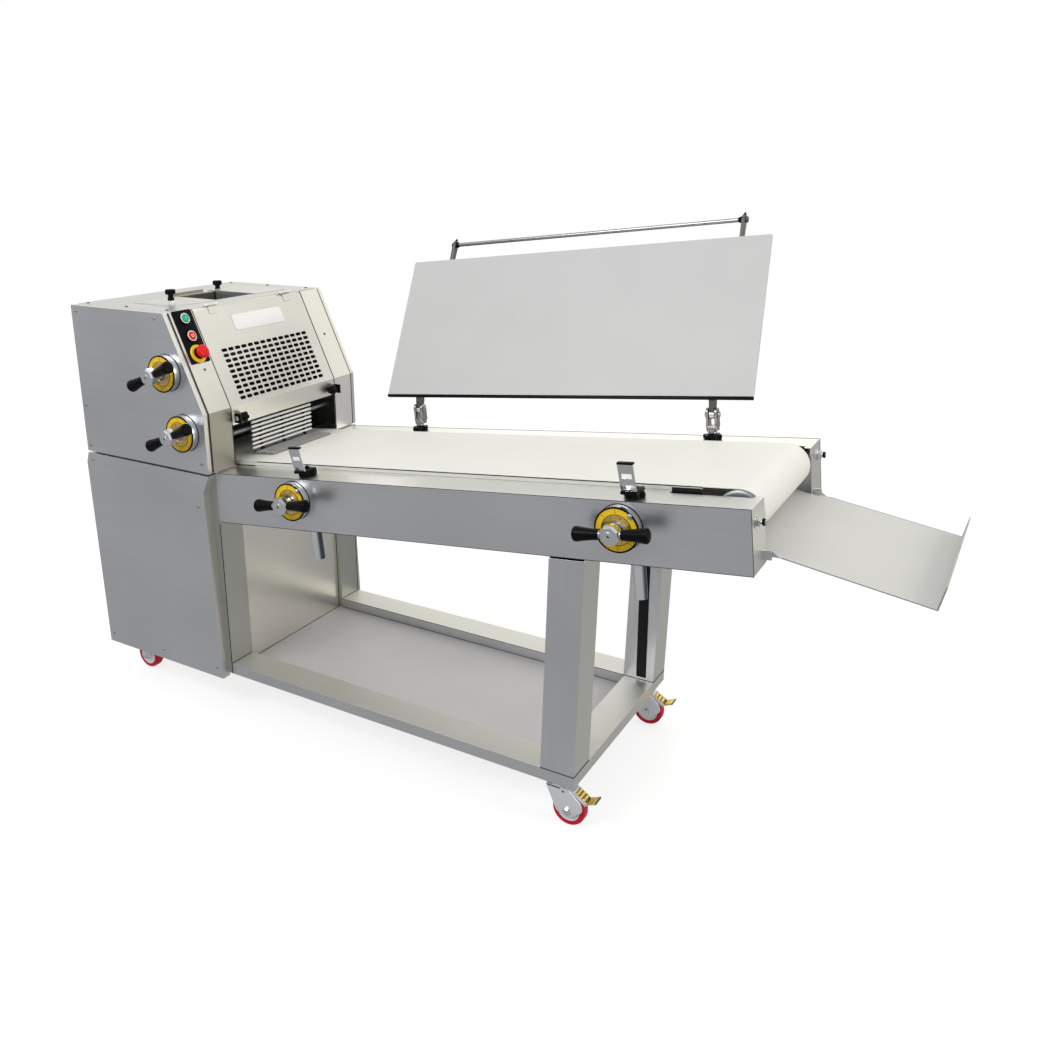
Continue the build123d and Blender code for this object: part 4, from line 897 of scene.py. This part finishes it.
def wheel_piece(name, node, x, y):
    wheel = bmesh.new()
    spot = at(x, y, wheel_radius) @ FARWARD
    place(wheel, turned(
        [(35.5, -15.6), (45, -16), (48.4, -14.4), (50, -10), (50, 10), (48.4, 14.4), (45, 16), (35.5, 15.6)],
        56, True), spot)
    place(wheel, turned(
        [(6.2, -18), (18, -18), (19, -17), (19.6, -12.5), (31, -10), (33, -14.4), (35.8, -15), (35.8, 15),
         (33, 14.4), (31, 10), (19.6, 12.5), (19, 17), (18, 18), (6.2, 18)], 48, True), spot, 1)
    for i in range(6):
        rib = spot @ turn(60 * i, "Z") @ at(24.5, 0, 0)
        place(wheel, round_box(11, 3, 25, 1.0), rib, 1)
    own_piece(name, wheel, node, "tyre_red", ("tyre_red", "hub_grey"))


def axle_parts(target, spot, finish):
    place(target, rod(6, 58, 0.8), spot @ at(0, 0, -29), finish)
    for side in (0, 180):
        end = spot @ turn(side, "X")
        place(target, tube(6, 12, 1.6, 0.3), end @ at(0, 0, 25), finish)
        place(target, hex_nut(10.5, 5.4), end @ at(0, 0, 26.4), finish)


def cheek_pair(target, outline, y):
    for edge in (y - 25, y + 20):
        place(target, plate(outline, 5, 7, 1.2), at(0, edge + 5, 0) @ NEARWARD)


for side, sign in (("near", -1), ("far", 1)):
    y = sign * swivel_y
    wheel_piece(f"castor_tyre_{side}", f"castor_wheel_{side}", axle_x, y)

    fork = bmesh.new()
    cheek_pair(fork, [
        (swivel_x - 34, 122), (swivel_x + 36, 122), (axle_x + 44, 84), (axle_x + 47, 60), (axle_x + 28, 46),
        (axle_x + 14, 34), (axle_x - 10, 30), (axle_x - 34, 44)], y)
    place(fork, round_box(46, 50, 8, 2.2, 3), at(swivel_x - 8, y, 118))
    place(fork, turned(
        [(0, 121.5), (25, 121.5), (26.5, 123), (26.5, 125), (24, 127.6), (6, 127.8), (6, 138), (0, 138)], 40),
        at(swivel_x, y, 0))
    axle_parts(fork, at(axle_x, y, wheel_radius) @ FARWARD, 1)
    own_piece(f"castor_yoke_{side}", fork, f"castor_fork_{side}", "zinc", ("zinc", "bright_steel"))

    pedal = bmesh.new()
    px, pz = pedal_at
    tread = [(px - 4, pz - 4), (px - 4, pz + 5), (px + 32, pz + 2), (px + 34, pz - 4)]
    place(pedal, plate(tread, 38, 2, 0.8), at(0, y + 19, 0) @ NEARWARD, 1)
    flap = at(px + 32, y, pz - 2) @ turn(30, "Y")
    place(pedal, round_box(46, 32, 2.4, 0.8), flap @ at(21, 0, -2.4), 2)
    for ridge in (7, 19, 31):
        place(pedal, rod(5.4, 31, 1.4), flap @ at(ridge, -15.5, 1.6) @ FARWARD)
    for wall in (-17.2, 17.2):
        place(pedal, round_box(48, 3.4, 11, 1.4), flap @ at(21, wall, -1.4), 1)
    toe = at(px + 69, y, pz - 22.6) @ turn(-23, "Y")
    place(pedal, round_box(33, 38, 4.4, 1.4), toe @ at(15, 0, 0))
    for rib in (9, 16, 23):
        place(pedal, round_box(2.2, 34, 1.8, 0.7), toe @ at(rib, 0, 2.6))
    place(pedal, round_box(3, 38.4, 5.6, 1.0), toe @ at(30.6, 0, 0), 2)
    place(pedal, rod(4, 50, 0.6), at(px, y - 25, pz) @ FARWARD, 1)
    own_piece(f"pedal_tread_{side}", pedal, f"brake_pedal_{side}", "pedal", ("pedal", "zinc", "dark_steel"))

    wheel_piece(f"rear_tyre_{side}", f"rear_wheel_{side}", rear_x, sign * rear_y)

plates = bmesh.new()
for sign in (-1, 1):
    for x, y in ((swivel_x, sign * swivel_y), (rear_x, sign * rear_y)):
        place(plates, plate(oblong(100, 86), 4, 8, 0.8), at(x, y, 140))
        for dx in (-38, 38):
            for dy in (-31, 31):
                place(plates, hex_nut(7, 5), at(x + dx, y + dy, 135), 1)
    place(plates, turned(
        [(6.2, 128), (27, 128), (30, 130), (31, 133), (30, 137), (33, 140), (6.2, 140)], 40, True),
        at(swivel_x, sign * swivel_y, 0))
    y = sign * rear_y
    place(plates, round_box(72, 50, 6, 2), at(rear_x, y, 137))
    cheek_pair(plates, [
        (rear_x - 36, 140), (rear_x + 36, 140), (rear_x + 17, 50), (rear_x + 10, 36), (rear_x - 10, 36),
        (rear_x - 17, 50)], y)
    axle_parts(plates, at(rear_x, y, wheel_radius) @ FARWARD, 1)
piece("castor_mounts", plates, "frame", "zinc", ("zinc", "bright_steel"), "castor_plates")

# Cable gland at the rear
gland_y, gland_z = 200.0, 300.0
gland = bmesh.new()
rearward = at(0, gland_y, gland_z) @ turn(-90, "Y")
place(gland, hex_nut(15, 7, 6.1), rearward)
place(gland, turned(
    [(6.1, 6), (12.5, 6), (13, 8), (13, 14), (11.5, 17.5), (9, 19.6), (6.1, 20)], 32, True), rearward)
place(gland, tube(6.1, 10, 18, 0.4), rearward @ at(0, 0, -18))
piece("gland_body", gland, "frame", "black", ("black",), "cable_gland")

# Screws that hold the covers
screws = bmesh.new()
side_screws = (
    (25, 1359), (403, 1359), (18, 1033), (560, 900), (18, 890), (20, 838), (525, 748), (20, 170), (545, 170),
    (285, 170))
for x, z in side_screws:
    place(screws, dome_screw(5, 2.6), at(x, cover_face, z) @ NEARWARD)
    place(screws, dome_screw(5, 2.6), at(x, -cover_face, z) @ FARWARD)
for x in (30, 222, 414):
    for y in (-335, 335):
        place(screws, dome_screw(5.5, 3), at(x, y, head_top[1]), 1)
for s, y in ((205, -306), (178, 306)):
    place(screws, dome_screw(4.5, 2.4), on_slope(s, y), 1)
for z in (190, 420, 660, 820, 1060, 1300):
    for y in (-320, 320):
        place(screws, dome_screw(5, 2.6), at(0, y, z) @ turn(-90, "Y"))
piece("cover_screws", screws, "frame", "bright_steel", ("rod_steel", "dark_steel"))

# Bare name plate on the guard
name_plate = bmesh.new()
place(name_plate, plate(oblong(56, 242), 0.8, 9, 0.25), on_slope(73, 10) @ at(0, 0, 0.9))
piece("name_plate", name_plate, "front_guard", "stainless_warm", ("white",))

# Strip that closes the guard's hinge gap
hinge_strip = bmesh.new()
place(hinge_strip, round_box(10, 521, 2, 0.4), on_slope(6.4, 0) @ at(0, 0, -1.4))
piece("hinge_strip", hinge_strip, "front_guard", "stainless_warm", ("stainless_warm",))

# Dark lines painted as shade where sheets meet and along open edges
base_top, base_bottom, base_end, end_leg = 181.0, 144.0, 1877.0, 104.0
sill, leg_top, head_foot = base_bottom + 3, 690.0, 872.0
panel_front, leg_inner = 569.0, 250.0
strip_edges = (361.0, 263.2)
beads = bmesh.new()


def bead(start, end, radius=1.4, target=beads, finish=0):
    run = Vector(end) - Vector(start)
    aim = run.to_track_quat("Z", "Y").to_matrix().to_4x4()
    place(target, rod(radius, run.length, 0.4, 10), Matrix.Translation(start) @ aim, finish)


for side in (-1, 1):
    face = side * frame_half
    inner = side * leg_inner
    foot, end_foot, end_top, near_top = (
        TILTED @ Vector((u, face, w))
        for u, w in ((0, 0), (rail_length, 0), (rail_length, rail_height), (0, rail_height)))
    bead(foot, end_foot, 0.8)
    bead(end_foot, end_top, 0.8)
    bead(end_top, near_top, 0.8)
    bead((base_end - end_leg, face, base_top), (base_end, face, base_top))
    bead((base_end, face, base_top), (base_end, inner, base_top))
    bead((base_end - end_leg, inner, base_top), (base_end, inner, base_top))
    bead((cabinet_front, face, base_bottom), (cabinet_front, face, base_top))
    bead((cabinet_front, face, base_top), (cabinet_front, inner, base_top))
    bead((cabinet_front, face, base_top), (cabinet_front, face, leg_top))
    bead((panel_front, inner, sill), (panel_front, inner, leg_top))
    bead((cabinet_front, inner, sill), (base_end - end_leg + 4, inner, sill))
    for edge in strip_edges:
        top, knee = (on_slope(s, side * edge).translation for s in (4.0, slope_length))
        bead(top, knee)
        bead(knee, (knee.x, knee.y, head_foot))
bead((panel_front, -leg_inner, sill), (panel_front, leg_inner, sill))
bead((cabinet_front, leg_inner, base_top), (base_end - end_leg, leg_inner, base_top), 1.0)
bed_foot, notch_start, bed_end = 90.0, 1523.0, 1600.0
# The dark bead beside the belt's near edge paints the shadow in the gap; the second bead is in the bed's
# colour
for y, w, stop, radius, finish in ((-233.4, 177.2, bed_end, 1.5, 0), (-240.6, 165.6, notch_start, 1.3, 1)):
    start, end = (TILTED @ Vector((u, y, w)) for u in (bed_foot, stop))
    bead(start, end, radius, finish=finish)
# A dark strip paints the shade in the gap at the rail's notch
notch_shade = TILTED @ at((notch_start + bed_end) / 2, -240.9, 168)
place(beads, round_box(bed_end - notch_start, 0.8, 15, 0.2), notch_shade)
piece("shade_line_beads", beads, "frame", "black", ("shade_black", "bed_sheet"))

# Dark lines painted as shade along the catch tray's cut edges and fold
tray_half = 258.0
tray_run, lip_run = Vector((376.5, 0, -58.4)), Vector((13, 0, 57))
tray_start = TILTED @ Vector((rail_length + 12, 0, 27))
tray_end = tray_start + tray_run
tray_lip = tray_end + lip_run
tray_shade_lines = bmesh.new()
for side in (-tray_half, tray_half):
    across_by = Vector((0, side, 0))
    bead(tray_start.lerp(tray_end, 0.08) + across_by, tray_end + across_by, 0.9, tray_shade_lines)
    bead(tray_end + across_by, tray_lip + across_by, 0.9, tray_shade_lines)
for edge in (tray_end, tray_lip):
    bead(edge - across_by, edge + across_by, 0.9, tray_shade_lines)
piece("tray_shade_lines", tray_shade_lines, "catch_tray", "stainless", ("rod_steel",))

# Black plates painted as the shade inside the open seams of the folded end legs
seam_x, seam_width, seam_height, seam_middle = 1834.0, 34.0, 500.0, 440.0
leg_shade_plates = bmesh.new()
for side in (-1, 1):
    inward = NEARWARD if side > 0 else FARWARD
    seam = at(seam_x, side * leg_inner, seam_middle) @ inward
    place(leg_shade_plates, plate(oblong(seam_width, seam_height), 0.6, 3), seam)
piece("leg_inside_shade", leg_shade_plates, "frame", "black", ("shade_black",))

# Camera at the photograph's viewing angle
yaw, pitch, roll = math.radians(31.22), math.radians(15.71), math.radians(-0.58)
forward = Vector((-math.sin(yaw) * math.cos(pitch), math.cos(yaw) * math.cos(pitch), -math.sin(pitch)))
level = Vector((math.cos(yaw), math.sin(yaw), 0))
upward = level.cross(forward)
right = math.cos(roll) * level + math.sin(roll) * upward
up = math.cos(roll) * upward - math.sin(roll) * level
view = bpy.data.cameras.new("photo_view")
view.lens = 33.73
view.sensor_width = 36.0
view.shift_x = 0.0415
view.shift_y = -0.0765
view.clip_start, view.clip_end = 0.05, 200
camera = bpy.data.objects.new("photo_view", view)
bpy.context.scene.collection.objects.link(camera)
camera_at = (1.50548, -2.48576, 1.81363)
camera.matrix_world = Matrix.Translation(camera_at) @ Matrix((right, up, -forward)).transposed().to_4x4()
bpy.context.scene.camera = camera

# Studio
scene = bpy.context.scene
scene.view_settings.view_transform = "Standard"
world = bpy.data.worlds.new("studio")
scene.world = world
world.use_nodes = True
sky = world.node_tree.nodes
sky_link = world.node_tree.links.new
sky.clear()
direction = sky.new("ShaderNodeTexCoord")
axes = sky.new("ShaderNodeSeparateXYZ")
sky_link(direction.outputs["Generated"], axes.inputs[0])


def sky_ramp(source, stops):
    ramp = sky.new("ShaderNodeValToRGB")
    while len(ramp.color_ramp.elements) < len(stops):
        ramp.color_ramp.elements.new(0.5)
    for element, (place_on, colour) in zip(ramp.color_ramp.elements, stops):
        element.position = place_on
        element.color = (*colour, 1)
    sky_link(spread(sky, sky_link, source, 0.0, 1.0, -1.0, 1.0), ramp.inputs["Fac"])
    return ramp.outputs["Color"]


def split_by_ray(tree, link, output, unseen, seen):
    ray = tree.new("ShaderNodeLightPath").outputs["Is Camera Ray"]
    choice = tree.new("ShaderNodeMixShader")
    for socket, source in zip(choice.inputs, (ray, unseen.outputs[0], seen.outputs[0])):
        link(source, socket)
    link(choice.outputs[0], tree.new(output).inputs["Surface"])


height_light = sky_ramp(axes.outputs["Z"], [
    (0.0, (0.45, 0.45, 0.45)), (0.5, (0.62, 0.62, 0.62)), (0.62, (0.92, 0.91, 0.89)), (1.0, (1.0, 1.0, 1.0))])
depth_light = sky_ramp(axes.outputs["Y"], [
    (0.0, (0.55, 0.57, 0.60)), (0.45, (0.83, 0.84, 0.85)), (1.0, (1.25, 1.23, 1.18))])
light_panels = 7.0
bearing = worked(sky, sky_link, "ARCTAN2", axes.outputs["Y"], axes.outputs["X"])
ripple = worked(sky, sky_link, "SINE", worked(sky, sky_link, "MULTIPLY", bearing, light_panels))
strips = spread(sky, sky_link, ripple, 0.75, 1.25, -0.6, 0.6)
blend_light = toned(sky, sky_link, height_light, depth_light)
studio_light = sky.new("ShaderNodeBackground")
sky_link(toned(sky, sky_link, blend_light, strips), studio_light.inputs["Color"])
paper = sky.new("ShaderNodeBackground")
paper.inputs["Color"].default_value = (1, 1, 1, 1)
split_by_ray(sky, sky_link, "ShaderNodeOutputWorld", studio_light, paper)

floor_bm = bmesh.new()
bmesh.ops.create_grid(floor_bm, x_segments=1, y_segments=1, size=20)
floor_mesh = bpy.data.meshes.new("floor")
floor_bm.to_mesh(floor_mesh)
floor_bm.free()
floor = bpy.data.objects.new("floor", floor_mesh)
scene.collection.objects.link(floor)
ground = bpy.data.materials.new("pale_floor")
ground.use_nodes = True
parts = ground.node_tree.nodes
join = ground.node_tree.links.new
parts.clear()
matt = parts.new("ShaderNodeBsdfDiffuse")
matt.inputs["Color"].default_value = (0.3, 0.3, 0.3, 1)
lit = parts.new("ShaderNodeEmission")
lit.inputs["Strength"].default_value = 0.76
seen = parts.new("ShaderNodeAddShader")
join(matt.outputs[0], seen.inputs[0])
join(lit.outputs[0], seen.inputs[1])
# Rays other than the camera's see the floor glow, dimmest around dark_corner: a glow that paints darker
# reflections into the shiny parts
dark_corner = (-1.3, 1.9, 0.0)
ground_spot = parts.new("ShaderNodeTexCoord").outputs["Object"]
away = vector_step(parts, join, "DISTANCE", ground_spot, dark_corner)["Value"]
reflection_glow = parts.new("ShaderNodeEmission")
join(spread(parts, join, away, 0.02, 0.4, 0.7, 1.7), reflection_glow.inputs["Strength"])
split_by_ray(parts, join, "ShaderNodeOutputMaterial", reflection_glow, seen)
floor_mesh.materials.append(ground)


def soft_light(name, place_at, aim_at, size, power, colour=(1, 1, 1)):
    lamp = bpy.data.lights.new(name, "AREA")
    lamp.shape = "RECTANGLE"
    lamp.size, lamp.size_y = size
    lamp.energy = power
    lamp.color = colour
    obj = bpy.data.objects.new(name, lamp)
    scene.collection.objects.link(obj)
    obj.location = place_at
    obj.rotation_mode = "QUATERNION"
    obj.rotation_quaternion = (Vector(aim_at) - Vector(place_at)).to_track_quat("-Z", "Y")


soft_light("key_light", (-1.6, -4.2, 4.6), (0, 0, 0.8), (3.2, 2.2), 150)
soft_light("side_light", (4.4, 0.6, 2.6), (0, 0, 0.9), (2.2, 2.2), 60, (1.0, 0.97, 0.92))
